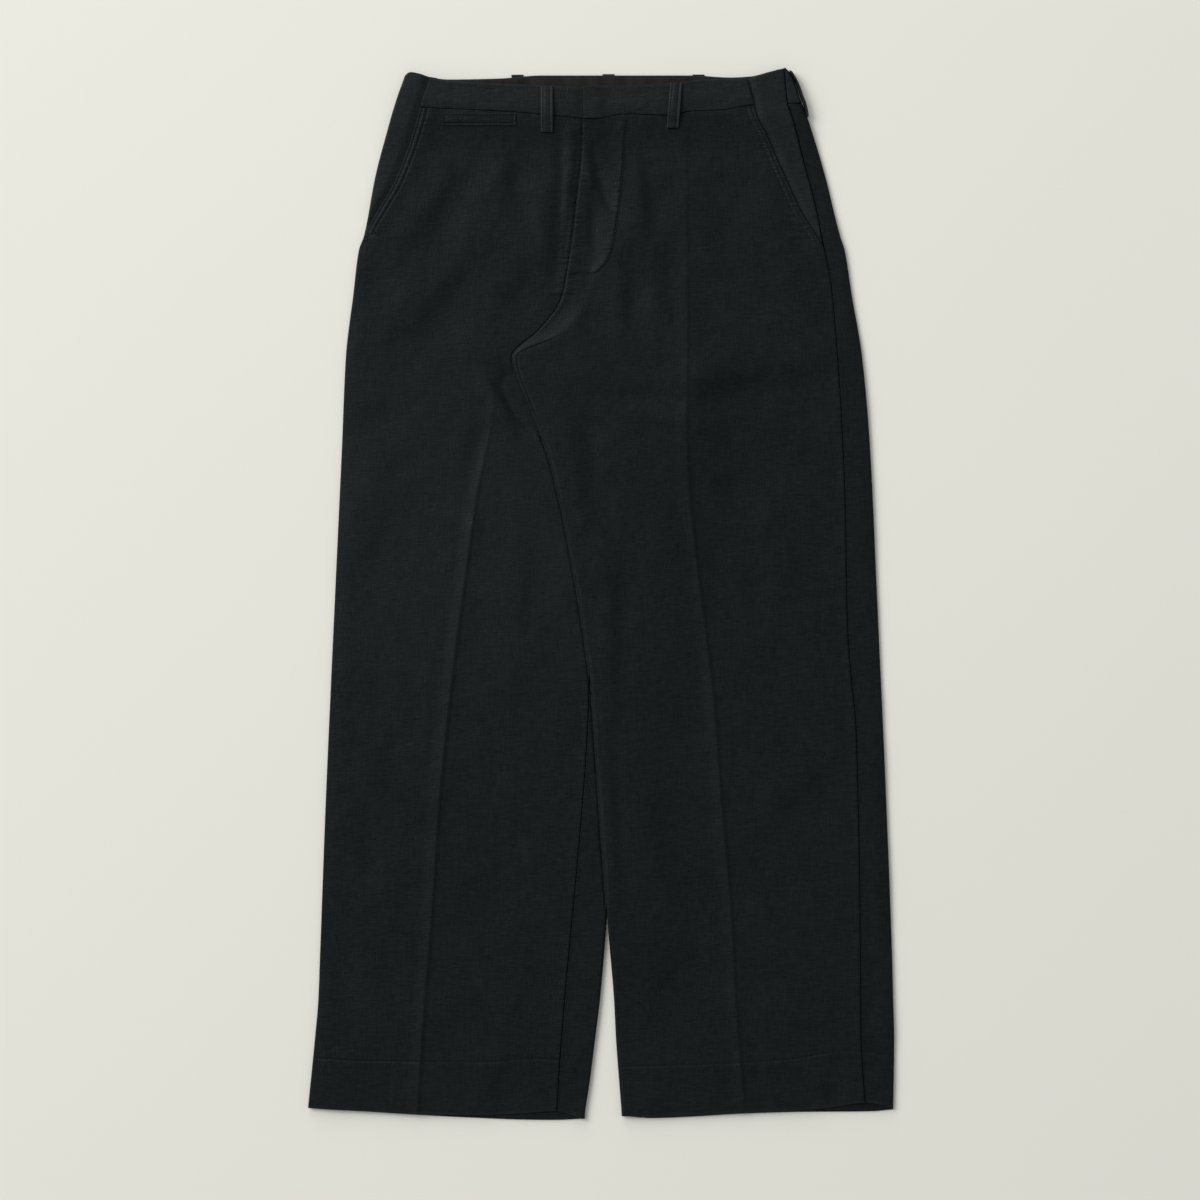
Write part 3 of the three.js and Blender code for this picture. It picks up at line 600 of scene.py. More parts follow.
    def on_inner_fold(self, y: Array, s: Array) -> tuple[Array, Array]:
        """The point a length s round the left leg's inner fold from its top.

        Args:
            y: Places along.
            s: Lengths round the fold.

        Returns:
            The x and z.
        """
        centre, radius, low, _ = self.inner_fold(y)
        half = np.pi * radius
        round_it = s < half
        x = np.where(round_it, centre - radius * np.sin(s / radius), centre + s - half)
        return x, np.where(round_it, low + radius * (1 + np.cos(np.minimum(s, half) / radius)), low)


LAY = Lay()


def turn(edge: Array, facing: int, low: Array, high: Array, t: Array) -> tuple[Array, Array]:
    """A point on the half circle round an outer fold.

    Args:
        edge: The fold's outermost x.
        facing: -1 for a fold that faces -X, 1 for +X.
        low: Level of the cloth under the fold.
        high: Level of the cloth above it.
        t: 0 at the lower end, 1 at the upper one.

    Returns:
        The point's x and z.
    """
    radius = (high - low) / 2
    angle = np.pi * (t - 0.5)
    centre = edge - facing * (radius + LAY.cloth / 2)
    return centre + facing * radius * np.cos(angle), (low + high) / 2 + radius * np.sin(angle)


def spaced(count: int, close_start: bool = False, close_end: bool = False) -> Array:
    """Shares from 0 to 1 in even steps, with closer ones at an end where an edge rolls over.

    Args:
        count: Number of steps.
        close_start: Closer at the start.
        close_end: Closer at the end.

    Returns:
        The shares.
    """
    closer = np.array([0, 0.07, 0.18, 0.4])
    middle = np.arange(1, count) / count
    start = closer / count if close_start else np.zeros(1)
    end = 1 - closer[::-1] / count if close_end else np.ones(1)
    return np.concatenate([start, middle, end])


@dataclass(frozen=True)
class Strip:
    """A run of a section's columns: place gives their x and z from their y and their share of the way."""

    share: Array
    place: Callable[[Array, Array], tuple[Array, Array]]


@dataclass(frozen=True)
class Section:
    """A panel's section: strips joined end to end, in order round the leg."""

    strips: tuple[Strip, ...]

    @property
    def count(self) -> int:
        """Number of columns."""
        return sum(len(strip.share) for strip in self.strips)

    def at(self, y: Array) -> tuple[Array, Array]:
        """The x and z of each column, where y has a row for each row and a column for each column.

        Args:
            y: Places along.

        Returns:
            The x and z.
        """
        xs, zs, first = [], [], 0
        for strip in self.strips:
            part = y[:, first : first + len(strip.share)]
            x, z = strip.place(part, np.broadcast_to(strip.share, part.shape))
            xs.append(x)
            zs.append(z)
            first += len(strip.share)
        return np.hstack(xs), np.hstack(zs)


def inner(share: Array) -> Array:
    """The shares without the last one, which the next strip starts with."""
    return share[:-1]


def front_right() -> Section:
    """From the fly, rise and inseam over the top and round the outer fold; to the pocket's edge higher up.

    Returns:
        The section.
    """

    def start(y: Array) -> Array:
        """Where the panel starts, under the left front or at the inseam."""
        lap = 3 + 2 * smoothstep(y, LAY.crotch_y, 240) + 4 * smoothstep(y, 310, 340)
        return np.where(y > LAY.crotch_y, LAY.over(y) + lap, LAY.inseam["x"](y))

    def fold(y: Array, t: Array) -> tuple[Array, Array]:
        """Round the outer fold, from the top."""
        edge = LAY.edge(R, y)
        return turn(edge, -1, LAY.back_level(R, edge, y), LAY.front_level(R, edge, y), 1 - t)

    def level(x: Array, y: Array) -> tuple[Array, Array]:
        """A point on top."""
        return x, LAY.front_level(R, x, y)

    def beside(y: Array) -> Array:
        """Where the strip beside the free edge ends."""
        return np.minimum(LAY.over(y) - 7, start(y) - 9)

    def outer_end(y: Array) -> Array:
        """Where the outer strip on top ends."""
        return np.where(y > LAY.mouth_end[R], LAY.mouth(R, y) + 14, fold(y, 0 * y)[0])

    crease = LAY.creases["right"]

    def side(y: Array, t: Array) -> tuple[Array, Array]:
        """Round the fold, or beside the pocket's edge.

        Args:
            y: Places along.
            t: Shares of the way.

        Returns:
            The x and z.
        """
        x, z = fold(y, t)
        pocket_x = lerp(LAY.mouth(R, y) + 14, LAY.mouth(R, y) + 3, t)
        open_side = y > LAY.mouth_end[R]
        return np.where(open_side, pocket_x, x), np.where(open_side, LAY.front_level(R, pocket_x, y), z)

    def beneath(y: Array, t: Array) -> tuple[Array, Array]:
        """From the fold to the outseam underneath, or to the pocket's edge.

        Args:
            y: Places along.
            t: Shares of the way.

        Returns:
            The x and z.
        """
        x, z = fold(y, np.ones_like(y))
        x = lerp(x, LAY.edge(R, y) + LAY.outseam_under - LAY.seam, t)
        pocket_x = lerp(LAY.mouth(R, y) + 3, LAY.mouth(R, y), t)
        open_side = y > LAY.mouth_end[R]
        return np.where(open_side, pocket_x, x), np.where(open_side, LAY.front_level(R, pocket_x, y), z)

    return Section(
        (
            Strip(inner(spaced(13, close_start=True)), lambda y, t: level(lerp(start(y), beside(y), t), y)),
            Strip(inner(spaced(32)), lambda y, t: level(lerp(beside(y), crease(y) + 7, t), y)),
            Strip(inner(spaced(14)), lambda y, t: level(crease(y) + 7 - 14 * t, y)),
            Strip(inner(spaced(46)), lambda y, t: level(lerp(crease(y) - 7, outer_end(y), t), y)),
            Strip(inner(spaced(14)), side),
            Strip(spaced(4, close_end=True), beneath),
        )
    )


def front_left() -> Section:
    """From the pocket's edge and the outseam over the top to the free edge, and round the inner fold.

    Returns:
        The section.
    """

    def start(y: Array) -> Array:
        """The outseam, or the pocket's edge."""
        seam = LAY.outseam["x"](y)
        return np.where(y > LAY.mouth_end[L], np.minimum(LAY.mouth(L, y), seam - LAY.seam), seam)

    def level(x: Array, y: Array) -> tuple[Array, Array]:
        """A point on top."""
        return x, LAY.front_level(L, x, y)

    def lip(y: Array) -> Array:
        """Where the curl round the inner fold starts."""
        return edge(y, 0 * y, 0 * y)[0]

    crease = LAY.creases["left"]

    def edge(y: Array, s: Array, inward: Array) -> tuple[Array, Array]:
        """Turned under on the leg, plain above the crotch and blended between them.

        Args:
            y: Places along.
            s: Lengths round the fold.
            inward: Distances from the lap's end, above the crotch.

        Returns:
            The x and z.
        """
        leg_y = np.minimum(y, LAY.crotch_y)
        x, z = LAY.on_inner_fold(leg_y, s)
        flatness = smoothstep(y, LAY.crotch_y, LAY.roll_end_y)
        plain_x = LAY.over(y) + LAY.lap_end[1] - inward
        plain_z = LAY.front_level(L, plain_x, y)
        x = lerp(x + LAY.over(y) - LAY.over(leg_y), plain_x, flatness)
        return x, lerp(z, plain_z, flatness)

    def reach(y: Array) -> tuple[Array, Array]:
        """Lengths round the fold at the curl's end and at the seam."""
        _, radius, _, end = LAY.inner_fold(np.minimum(y, LAY.crotch_y))
        return np.minimum(end - 1, np.pi * radius), end

    def curl(y: Array, t: Array) -> tuple[Array, Array]:
        """Round the inner fold."""
        return edge(y, t * reach(y)[0], t * 20)

    def under(y: Array, t: Array) -> tuple[Array, Array]:
        """The cloth that is turned under."""
        return edge(y, lerp(*reach(y), t), lerp(20, LAY.lap_end[1], t))

    return Section(
        (
            Strip(inner(spaced(14, close_start=True)), lambda y, t: level(start(y) - 14 * t, y)),
            Strip(inner(spaced(42)), lambda y, t: level(lerp(start(y) - 14, crease(y) + 7, t), y)),
            Strip(inner(spaced(14)), lambda y, t: level(crease(y) + 7 - 14 * t, y)),
            Strip(inner(spaced(36)), lambda y, t: level(lerp(crease(y) - 7, lip(y) + 9, t), y)),
            Strip(inner(spaced(10)), lambda y, t: level(lip(y) + 9 - 9 * t, y)),
            Strip(inner(spaced(10)), curl),
            Strip(spaced(4, close_end=True), under),
        )
    )


def back_right() -> Section:
    """From the outseam underneath along the floor, and below the seat round the inner fold to the inseam.

    Returns:
        The section.
    """

    def rounded(y: Array, t: Array) -> tuple[Array, Array]:
        """Round the right leg's inner fold."""
        edge = LAY.under(np.minimum(y, LAY.back_fold_top_y))
        return turn(edge, 1, LAY.floor_level, LAY.top_level, t)

    def floor(y: Array, t: Array) -> tuple[Array, Array]:
        """Along the floor, to the fold or the centre back.

        Args:
            y: Places along.
            t: Shares of the way.

        Returns:
            The x and z.
        """
        start = LAY.edge(R, y) + LAY.outseam_under
        centre = LAY.centre_back_x - LAY.seam / 2
        end = np.where(y > LAY.back_fold_top_y, centre, rounded(y, 0 * y)[0])
        x = lerp(start, end, t)
        return x, LAY.back_level(R, x, y)

    def seam(y: Array) -> Array:
        """The seat seam, and the inseam below it."""
        return np.where(y > LAY.crotch_y, LAY.seat["x"](y), LAY.inseam["x"](y) + LAY.seam)

    def beside(y: Array, shift: float, least: float) -> Array:
        """A line beside the left leg's free edge."""
        return np.maximum(LAY.over(y) + shift, seam(y) + least)

    def top(x: Array, y: Array) -> tuple[Array, Array]:
        """A point on top."""
        free = smoothstep(LAY.over(y) - x, 2, 9)
        return x, LAY.top_level + 0.35 * free * lattice(x, y, 14, 8) - LAY.furrow(x, y)

    def covered(y: Array, t: Array) -> tuple[Array, Array]:
        """On top, under the left leg."""
        first = rounded(y, np.ones_like(y))[0]
        return top(lerp(first, np.minimum(beside(y, 5, 1), first - 0.5), t), y)

    def pressed(y: Array, t: Array) -> tuple[Array, Array]:
        """On top, where the left leg's edge presses."""
        first = np.minimum(beside(y, 5, 1), rounded(y, np.ones_like(y))[0] - 0.5)
        return top(lerp(first, np.minimum(beside(y, -5, 0.6), first - 0.3), t), y)

    def shown(y: Array, t: Array) -> tuple[Array, Array]:
        """On top, as far as the seam."""
        first = pressed(y, np.ones_like(y))[0]
        return top(lerp(first, seam(y), t), y)

    return Section(
        (
            Strip(inner(spaced(24)), floor),
            Strip(inner(spaced(8)), rounded),
            Strip(inner(spaced(8)), covered),
            Strip(inner(spaced(11)), pressed),
            Strip(spaced(14, close_end=True), shown),
        )
    )


def back_left() -> Section:
    """From the seat and the inseam over the right leg and the floor, round the outer fold to the outseam.

    Returns:
        The section.
    """

    def first_end(y: Array) -> tuple[Array, Array]:
        """The end of the first strip."""
        return start(y, np.ones_like(y))

    def start(y: Array, t: Array) -> tuple[Array, Array]:
        """From the centre back or the seat, and lower down from the inseam.

        Args:
            y: Places along.
            t: Shares of the way.

        Returns:
            The x and z.
        """
        centre = LAY.centre_back_x + LAY.seam / 2
        edge = np.where(y > LAY.back_fold_top_y, centre, LAY.seat["x"](y))
        plain = lerp(edge, edge + 5, t)
        leg_y = np.minimum(y, LAY.crotch_y)
        _, radius, _, seam = LAY.inner_fold(leg_y)
        s = lerp(seam + 2 * LAY.seam, np.maximum(np.pi * radius + 1, seam + 2 * LAY.seam + 3), t)
        x, z = LAY.on_inner_fold(leg_y, s)
        above = y > LAY.crotch_y
        return np.where(above, plain, x), np.where(above, LAY.back_level(L, plain, y), z)

    def level(x: Array, y: Array) -> tuple[Array, Array]:
        """A point on the underside."""
        return x, LAY.back_level(L, x, y)

    def rounded(y: Array, t: Array) -> tuple[Array, Array]:
        """Round the outer fold."""
        edge = LAY.edge(L, y)
        return turn(edge, 1, LAY.back_level(L, edge, y), LAY.front_level(L, edge, y), t)

    def top(y: Array, t: Array) -> tuple[Array, Array]:
        """On top, from the fold to the outseam.

        Args:
            y: Places along.
            t: Shares of the way.

        Returns:
            The x and z.
        """
        end_of_fold = rounded(y, np.ones_like(y))[0]
        x = lerp(end_of_fold, np.minimum(LAY.outseam["x"](y) + LAY.seam, end_of_fold - 1), t)
        return x, LAY.front_level(L, x, y)

    ramp = LAY.ramp_start
    return Section(
        (
            Strip(inner(spaced(4)), start),
            Strip(inner(spaced(8)), lambda y, t: level(lerp(first_end(y)[0], ramp(y), t), y)),
            Strip(inner(spaced(6)), lambda y, t: level(ramp(y) + LAY.ramp * t, y)),
            Strip(
                inner(spaced(14)), lambda y, t: level(lerp(ramp(y) + LAY.ramp, rounded(y, 0 * y)[0], t), y)
            ),
            Strip(inner(spaced(10)), rounded),
            Strip(spaced(12, close_end=True), top),
        )
    )


def side_level(side: Side, x: Array, y: Array) -> Array:
    """A pocket facing: tucked under the pocket's edge, level with the front further out.

    Args:
        side: The wearer's side.
        x: Places across.
        y: Places along.

    Returns:
        The heights.
    """
    outward = -LAY.inside_mouth(side, x, y)
    drop = LAY.pocket_drop * (1 - smoothstep(outward, 0, 8))
    roll = LAY.roll_down(side, x, y) * smoothstep(outward, 4, 18)
    uneven = 0.3 * lattice(x, 0.6 * y, 15, 6) + 0.12 * lattice(x, y, 6, 7)
    return LAY.plain_level(y) - drop - roll + uneven


def side_right() -> Section:
    """From under the pocket's edge round the outer fold to the outseam on the underside.

    Returns:
        The section.
    """

    def top(y: Array) -> Array:
        """The facing's level at the fold."""
        return side_level(R, np.minimum(LAY.edge(R, y) + 2.5, LAY.mouth(R, y)), y)

    def rounded(y: Array, t: Array) -> tuple[Array, Array]:
        """Round the outer fold."""
        edge = LAY.edge(R, y)
        return turn(edge, -1, LAY.back_level(R, edge, y), top(y), 1 - t)

    def flat(y: Array, t: Array) -> tuple[Array, Array]:
        """On top, as far as the fold.

        Args:
            y: Places along.
            t: Shares of the way.

        Returns:
            The x and z.
        """
        start = np.minimum(LAY.mouth(R, y) + LAY.pocket_tuck, -163.5)
        x = lerp(start, rounded(y, 0 * y)[0] + 0.3, t)
        return x, side_level(R, x, y)

    def beneath(y: Array, t: Array) -> tuple[Array, Array]:
        """Underneath, as far as the outseam."""
        x, z = rounded(y, np.ones_like(y))
        return lerp(x, LAY.edge(R, y) + LAY.outseam_under - LAY.seam, t), z

    return Section(
        (Strip(inner(spaced(14)), flat), Strip(inner(spaced(10)), rounded), Strip(spaced(4), beneath))
    )


def side_left() -> Section:
    """From the outseam on top to under the pocket's edge.

    Returns:
        The section.
    """

    def flat(y: Array, t: Array) -> tuple[Array, Array]:
        """On top, from the outseam on.

        Args:
            y: Places along.
            t: Shares of the way.

        Returns:
            The x and z.
        """
        end = LAY.outseam["x"](y) - LAY.seam
        x = lerp(end, np.minimum(LAY.mouth(L, y), end - 1) - LAY.pocket_tuck, t)
        return x, side_level(L, x, y)

    return Section((Strip(spaced(18, close_start=True), flat),))


def shell_rows(top: float, bottom: float, step: float, keep: Sequence[float] = ()) -> Array:
    """Rows from top to bottom about a step apart, closer at both edges, with the kept ones among them.

    Args:
        top: The first row.
        bottom: The last row.
        step: Distance between rows.
        keep: Rows that have to be there.

    Returns:
        The rows.
    """
    stops = sorted({top, *keep, bottom}, reverse=True)
    rows: list[float] = []
    for high, low in zip(stops, stops[1:]):
        count = max(1, round((high - low) / step))
        rows.extend(np.linspace(high, low, count, endpoint=False))
    rows.append(bottom)
    close = [0.25, 0.6, 1.2]
    return np.array(sorted({*rows, *(top - c for c in close), *(bottom + c for c in close)}, reverse=True))


class Edge(Enum):
    """An edge of a piece's grid."""

    START = "first column"
    END = "last column"
    TOP = "first row"
    BOTTOM = "last row"


@dataclass
class Shell:
    """A piece of cloth: a grid laid along its section and given its thickness by a Solidify modifier."""

    name: str
    section: Section
    rows: Array
    top: Level | None = None
    bottom: Level | None = None
    top_zone: float = 462
    bottom_zone: float = -464
    thickness: float = 1.2
    hem_extra: float = 0
    edge_roll: float = 0.8
    stitch_line: Curve | None = None
    seams: frozenset[Edge] = frozenset()
    missing: Callable[[Array, Array], Array] | None = None

    def bend(self, y: Array, x: Array, z: Array) -> Array:
        """Moves the first and last rows onto the piece's edges, and those at the hem's stitches onto them.

        Args:
            y: The rows' first places.
            x: The points' x.
            z: The points' z.

        Returns:
            The rows' places.
        """
        first, last = self.rows[0], self.rows[-1]
        if self.top:
            share = (y - self.top_zone) / (first - self.top_zone)
            y = np.where(y > self.top_zone, lerp(self.top_zone, self.top(x, z), share), y)
        if self.bottom:
            line = self.stitch_line(x) if self.stitch_line else self.bottom_zone
            share = (y - self.bottom_zone) / (last - self.bottom_zone)
            above = y + (line - self.bottom_zone) * smoothstep(-y, -self.bottom_zone - 40, -self.bottom_zone)
            y = np.where(y < self.bottom_zone, lerp(line, self.bottom(x, z), share), above)
        return y

    def seam_depth(self, along: Array, y: Array) -> Array:
        """1 at an edge that is sewn to another piece, 0 a millimetre or two away.

        Args:
            along: Lengths along each row.
            y: Places along.

        Returns:
            The values.
        """
        away = {
            Edge.START: along,
            Edge.END: along[:, -1:] - along,
            Edge.TOP: y[0] - y,
            Edge.BOTTOM: y - y[-1],
        }
        depth = np.zeros_like(y)
        for edge in self.seams:
            width = 2.1 if edge in (Edge.START, Edge.END) else 0.9
            depth = np.maximum(depth, 1 - smoothstep(away[edge], 0.1, width))
        return depth

    def surface(self) -> tuple[Array, Array, Array, Array, Array]:
        """The outer surface as x, y and z, how thin its rolled edges are, and how near a seam is.

        Returns:
            The five arrays.
        """
        nominal = np.repeat(self.rows[:, None], self.section.count, axis=1)
        y = nominal
        for _ in range(2):
            x, z = self.section.at(y)
            y = self.bend(nominal, x, z)
        x, z = self.section.at(y)
        across_x, across_z = np.gradient(x, axis=1), np.gradient(z, axis=1)
        length = np.maximum(np.hypot(across_x, across_z), 1e-6)
        step = np.hypot(np.diff(x, axis=1), np.diff(z, axis=1))
        along = np.concatenate([np.zeros((len(y), 1)), np.cumsum(step, axis=1)], axis=1)
        from_edge = np.minimum(along, along[:, -1:] - along)
        from_edge = np.minimum(from_edge, np.minimum(y[0] - y, y - y[-1]))
        inside = np.clip(1 - np.abs(from_edge) / self.edge_roll, 0, 1)
        drop = 0.7 * self.edge_roll * (1 - np.sqrt(1 - inside**2 * 0.999))
        out = self.thickness / 2 - drop
        seam = self.seam_depth(along, y)
        return x + across_z / length * out, y, z - across_x / length * out, drop, seam

    def build(self) -> bpy.types.Object:
        """Makes the object: a grid moved onto the surface, with its thickness as a modifier.

        Returns:
            The object.
        """
        x, y, z, drop, seam = self.surface()
        rows, columns = x.shape
        bm = bmesh.new()
        bmesh.ops.create_grid(bm, x_segments=columns - 1, y_segments=rows - 1, size=1.0)
        bmesh.ops.reverse_faces(bm, faces=bm.faces)
        place = np.array([v.co[:2] for v in bm.verts])
        column = np.rint((place[:, 0] + 1) / 2 * (columns - 1)).astype(int)
        row = np.rint((1 - place[:, 1]) / 2 * (rows - 1)).astype(int)
        if self.missing:
            gone = self.missing(self.rows[row], column)
            bm.verts.ensure_lookup_table()
            bmesh.ops.delete(bm, geom=[bm.verts[i] for i in np.flatnonzero(gone)], context="VERTS")
            row, column = row[~gone], column[~gone]
        mesh = bpy.data.meshes.new(self.name)
        bm.to_mesh(mesh)
        bm.free()
        points = np.stack([x[row, column], y[row, column], z[row, column]], axis=1) * MM
        mesh.vertices.foreach_set("co", points.ravel())
        mesh.update()
        mesh.polygons.foreach_set("use_smooth", [True] * len(mesh.polygons))
        obj = bpy.data.objects.new(self.name, mesh)
        bpy.context.scene.collection.objects.link(obj)
        full = self.thickness + self.hem_extra
        hem = np.where(self.rows[row] <= self.bottom_zone, self.hem_extra, 0)
        weights = (self.thickness + hem - drop[row, column]) / full
        group = obj.vertex_groups.new(name="thickness")
        for index, weight in enumerate(weights.tolist()):
            group.add([index], weight, "REPLACE")
        solidify = obj.modifiers.new("Thickness", "SOLIDIFY")
        solidify.thickness = full * MM
        solidify.offset = -1
        solidify.vertex_group = group.name
        solidify.use_rim = True
        mesh.attributes.new("seam", "FLOAT", "POINT").data.foreach_set("value", seam[row, column])
        return obj


@dataclass(frozen=True)
class Look:
    """What a piece's material reads at each point, from its place."""

    wear_and_painted_light: Level = lambda x, y: 0 * x
    pull_across: Level = lambda x, y: 0 * x
    pull_along: Level = lambda x, y: 0 * x

    def store(self, obj: bpy.types.Object) -> None:
        """Writes the values on the mesh: the wear value lightens, for real wear and for painted light where a
        look sets it; the pulls pucker across X and along Y.

        Args:
            obj: The piece.
        """
        mesh = obj.data
        points = np.empty(len(mesh.vertices) * 3)
        mesh.vertices.foreach_get("co", points)
        x, y, _ = points.reshape(-1, 3).T / MM
        for name in ("wear_and_painted_light", "pull_across", "pull_along"):
            attribute = mesh.attributes.new(name, "FLOAT", "POINT")
            attribute.data.foreach_set("value", np.clip(getattr(self, name)(x, y), 0, 1))


class Socket:
    """A shader value: a link or a number, with the operators that the materials use."""

    def __init__(self, shader: Shader, source: bpy.types.NodeSocket | float) -> None:
        """Keeps the shader that new nodes go into and the socket or number itself."""
        self.shader = shader
        self.source = source

    def __add__(self, other: Socket | float) -> Socket:
        """Sum."""
        return self.shader.math("ADD", self, other)

    __radd__ = __add__

    def __mul__(self, other: Socket | float) -> Socket:
        """Product."""
        return self.shader.math("MULTIPLY", self, other)

    __rmul__ = __mul__

    def __sub__(self, other: Socket | float) -> Socket:
        """Difference."""
        return self.shader.math("SUBTRACT", self, other)

    def __rsub__(self, other: float) -> Socket:
        """Difference from a number."""
        return self.shader.math("SUBTRACT", other, self)


class Shader:
    """A material's node tree, with one method that adds any node."""

    def __init__(self, name: str) -> None:
        """Starts a material with a Principled surface.

        Args:
            name: The material's name.
        """
        self.material = bpy.data.materials.new(name)
        self.material.use_nodes = True
        self.tree = self.material.node_tree
        self.surface = next(n for n in self.tree.nodes if n.type == "BSDF_PRINCIPLED")

    def node(
        self,
        kind: str,
        settings: dict[str, object] | None = None,
        inputs: dict[str | int, object] | None = None,
    ) -> bpy.types.Node:
        """Adds a node.

        Args:
            kind: The node's type name.
            settings: Its properties, which are set first.
            inputs: Values or links of its sockets, by name or number.

        Returns:
            The node.
        """
        made = self.tree.nodes.new(kind)
        for key, value in (settings or {}).items():
            setattr(made, key, value)
        for key, value in (inputs or {}).items():
            self.connect(made.inputs[key], value)
        return made

    def connect(self, socket: bpy.types.NodeSocket, value: object) -> None:
        """Links a socket to another one, or sets its value.

        Args:
            socket: What is fed.
            value: A link, a number or a colour.
        """
        source = value.source if isinstance(value, Socket) else value
        if isinstance(source, bpy.types.NodeSocket):
            self.tree.links.new(source, socket)
        else:
            socket.default_value = source

    def math(self, operation: str, a: Socket | float, b: Socket | float) -> Socket:
        """The result of a Math node."""
        return Socket(self, self.node("ShaderNodeMath", {"operation": operation}, {0: a, 1: b}).outputs[0])

    def place(self, scale: tuple[float, float, float]) -> bpy.types.NodeSocket:
        """Object coordinates, stretched."""
        coordinates = self.node("ShaderNodeTexCoord").outputs["Object"]
        return self.node("ShaderNodeMapping", inputs={"Vector": coordinates, "Scale": scale}).outputs[0]

    def noise(self, scale: tuple[float, float, float], detail: float = 2.0, roughness: float = 0.5) -> Socket:
        """Noise from 0 to 1 with so many bumps a metre along each axis."""
        inputs = {"Vector": self.place(scale), "Scale": 1.0, "Detail": detail, "Roughness": roughness}
        return Socket(self, self.node("ShaderNodeTexNoise", inputs=inputs).outputs[0])

    def attribute(self, name: str) -> Socket:
        """A number stored on the mesh."""
        return Socket(self, self.node("ShaderNodeAttribute", {"attribute_name": name}).outputs["Fac"])

    def blend(self, share: Socket | float, first: tuple[float, ...], second: object) -> Socket:
        """A mix of two colours.

        Args:
            share: The second one's share.
            first: A colour.
            second: Another one.

        Returns:
            The mix.
        """
        node = self.node("ShaderNodeMix", {"data_type": "RGBA"})
        self.connect(node.inputs["Factor"], share)
        for socket, colour in zip((s for s in node.inputs if s.type == "RGBA"), (first, second)):
            self.connect(socket, colour)
        return Socket(self, next(s for s in node.outputs if s.type == "RGBA"))

    def bump(self, height: Socket, distance: float, strength: float = 1.0) -> None:
        """Feeds a relief in metres into the surface's normal."""
        inputs = {"Height": height, "Distance": distance, "Strength": strength}
        self.connect(self.surface.inputs["Normal"], self.node("ShaderNodeBump", inputs=inputs).outputs[0])


def linear(red: int, green: int, blue: int) -> tuple[float, float, float, float]:
    """A colour given in the usual 0 to 255, as the renderer's linear values.

    Args:
        red: Red.
        green: Green.
        blue: Blue.

    Returns:
        Red, green, blue and alpha.
    """

    def one(value: int) -> float:
        """One channel's linear value."""
        share = value / 255
        return share / 12.92 if share <= 0.04045 else ((share + 0.055) / 1.055) ** 2.4

    return one(red), one(green), one(blue), 1.0


@dataclass(frozen=True)
class Moleskin:
    """Blue-black cotton moleskin: fine threads both ways, puckers beside the seams and a slight nap."""

    name: str = "moleskin"
    deep: tuple[int, int, int] = (5, 9, 10)
    light: tuple[int, int, int] = (22, 28, 30)
    worn_and_lit: tuple[int, int, int] = (50, 58, 60)
    seam: tuple[int, int, int] = (3, 4, 5)
    specular: float = 0.1
    roughness: float = 0.5
    sheen: float = 0.02

    def make(self) -> bpy.types.Material:
        """Builds the material.

        Returns:
            The material.
        """
        shader = Shader(self.name)
        cloud = shader.noise((22, 16, 22), detail=4.0)
        mottle = shader.noise((95, 130, 90), detail=3.0, roughness=0.6)
        weft = shader.noise((110, 720, 300), detail=3.0, roughness=0.6)
        warp = shader.noise((760, 95, 300), detail=3.0, roughness=0.6)
        fleck = shader.noise((620, 620, 620), detail=1.0)
        tone = cloud * 0.45 + mottle * 0.3 + weft * 1.2 + warp * 1.0 + fleck * 0.3 - 1.12
        base = shader.blend(tone, linear(*self.deep), linear(*self.light))
        # The pale tone is worn cloth, and it is painted light where the wear value carries it: the crease's
        # lit side, the right thigh, the free edges and the pocket facings.
        worn_and_lit = shader.blend(shader.attribute("wear_and_painted_light") * (fleck + 0.2), base, linear(*self.worn_and_lit))
        sewn = shader.blend(shader.attribute("seam") * 0.82, worn_and_lit, linear(*self.seam))
        surface = shader.surface.inputs
        shader.connect(surface["Base Color"], sewn)
        shader.connect(surface["Roughness"], weft * 0.2 + (self.roughness - 0.1))
        surface["Specular IOR Level"].default_value = self.specular
        surface["Sheen Weight"].default_value = self.sheen
        surface["Sheen Roughness"].default_value = 0.4
        surface["Sheen Tint"].default_value = linear(150, 165, 172)
        across = shader.noise((60, 250, 100), detail=3.0) * shader.attribute("pull_across")
        along = shader.noise((150, 55, 100), detail=3.0) * shader.attribute("pull_along")
        thread = weft * 0.34 + warp * 0.3 + fleck * 0.12 + mottle * 0.25
        shader.bump(thread + across * 2.2 + along * 1.6, 0.0010, 0.9)
        return shader.material


@dataclass(frozen=True)
class Drill:
    """Brownish black twill of the waistband's inside, with fine diagonal ribs."""

    name: str = "brown_facing"
    deep: tuple[int, int, int] = (19, 18, 15)
    light: tuple[int, int, int] = (41, 39, 34)

    def make(self) -> bpy.types.Material:
        """Builds the material.

        Returns:
            The material.
        """
        shader = Shader(self.name)
        ribs = shader.noise((1500, 300, 200), detail=1.0)
        grain = shader.noise((240, 1300, 240), detail=2.0)
        streak = shader.noise((95, 14, 60), detail=2.0)
        tone = ribs * 0.5 + grain * 0.3 + streak * 1.4 - 0.65
        colour = shader.blend(tone, linear(*self.deep), linear(*self.light))
        shader.connect(shader.surface.inputs["Base Color"], colour)
        shader.surface.inputs["Roughness"].default_value = 0.9
        shader.surface.inputs["Specular IOR Level"].default_value = 0.15
        shader.bump(ribs * 0.6 + grain * 0.4, 0.0003, 0.8)
        return shader.material


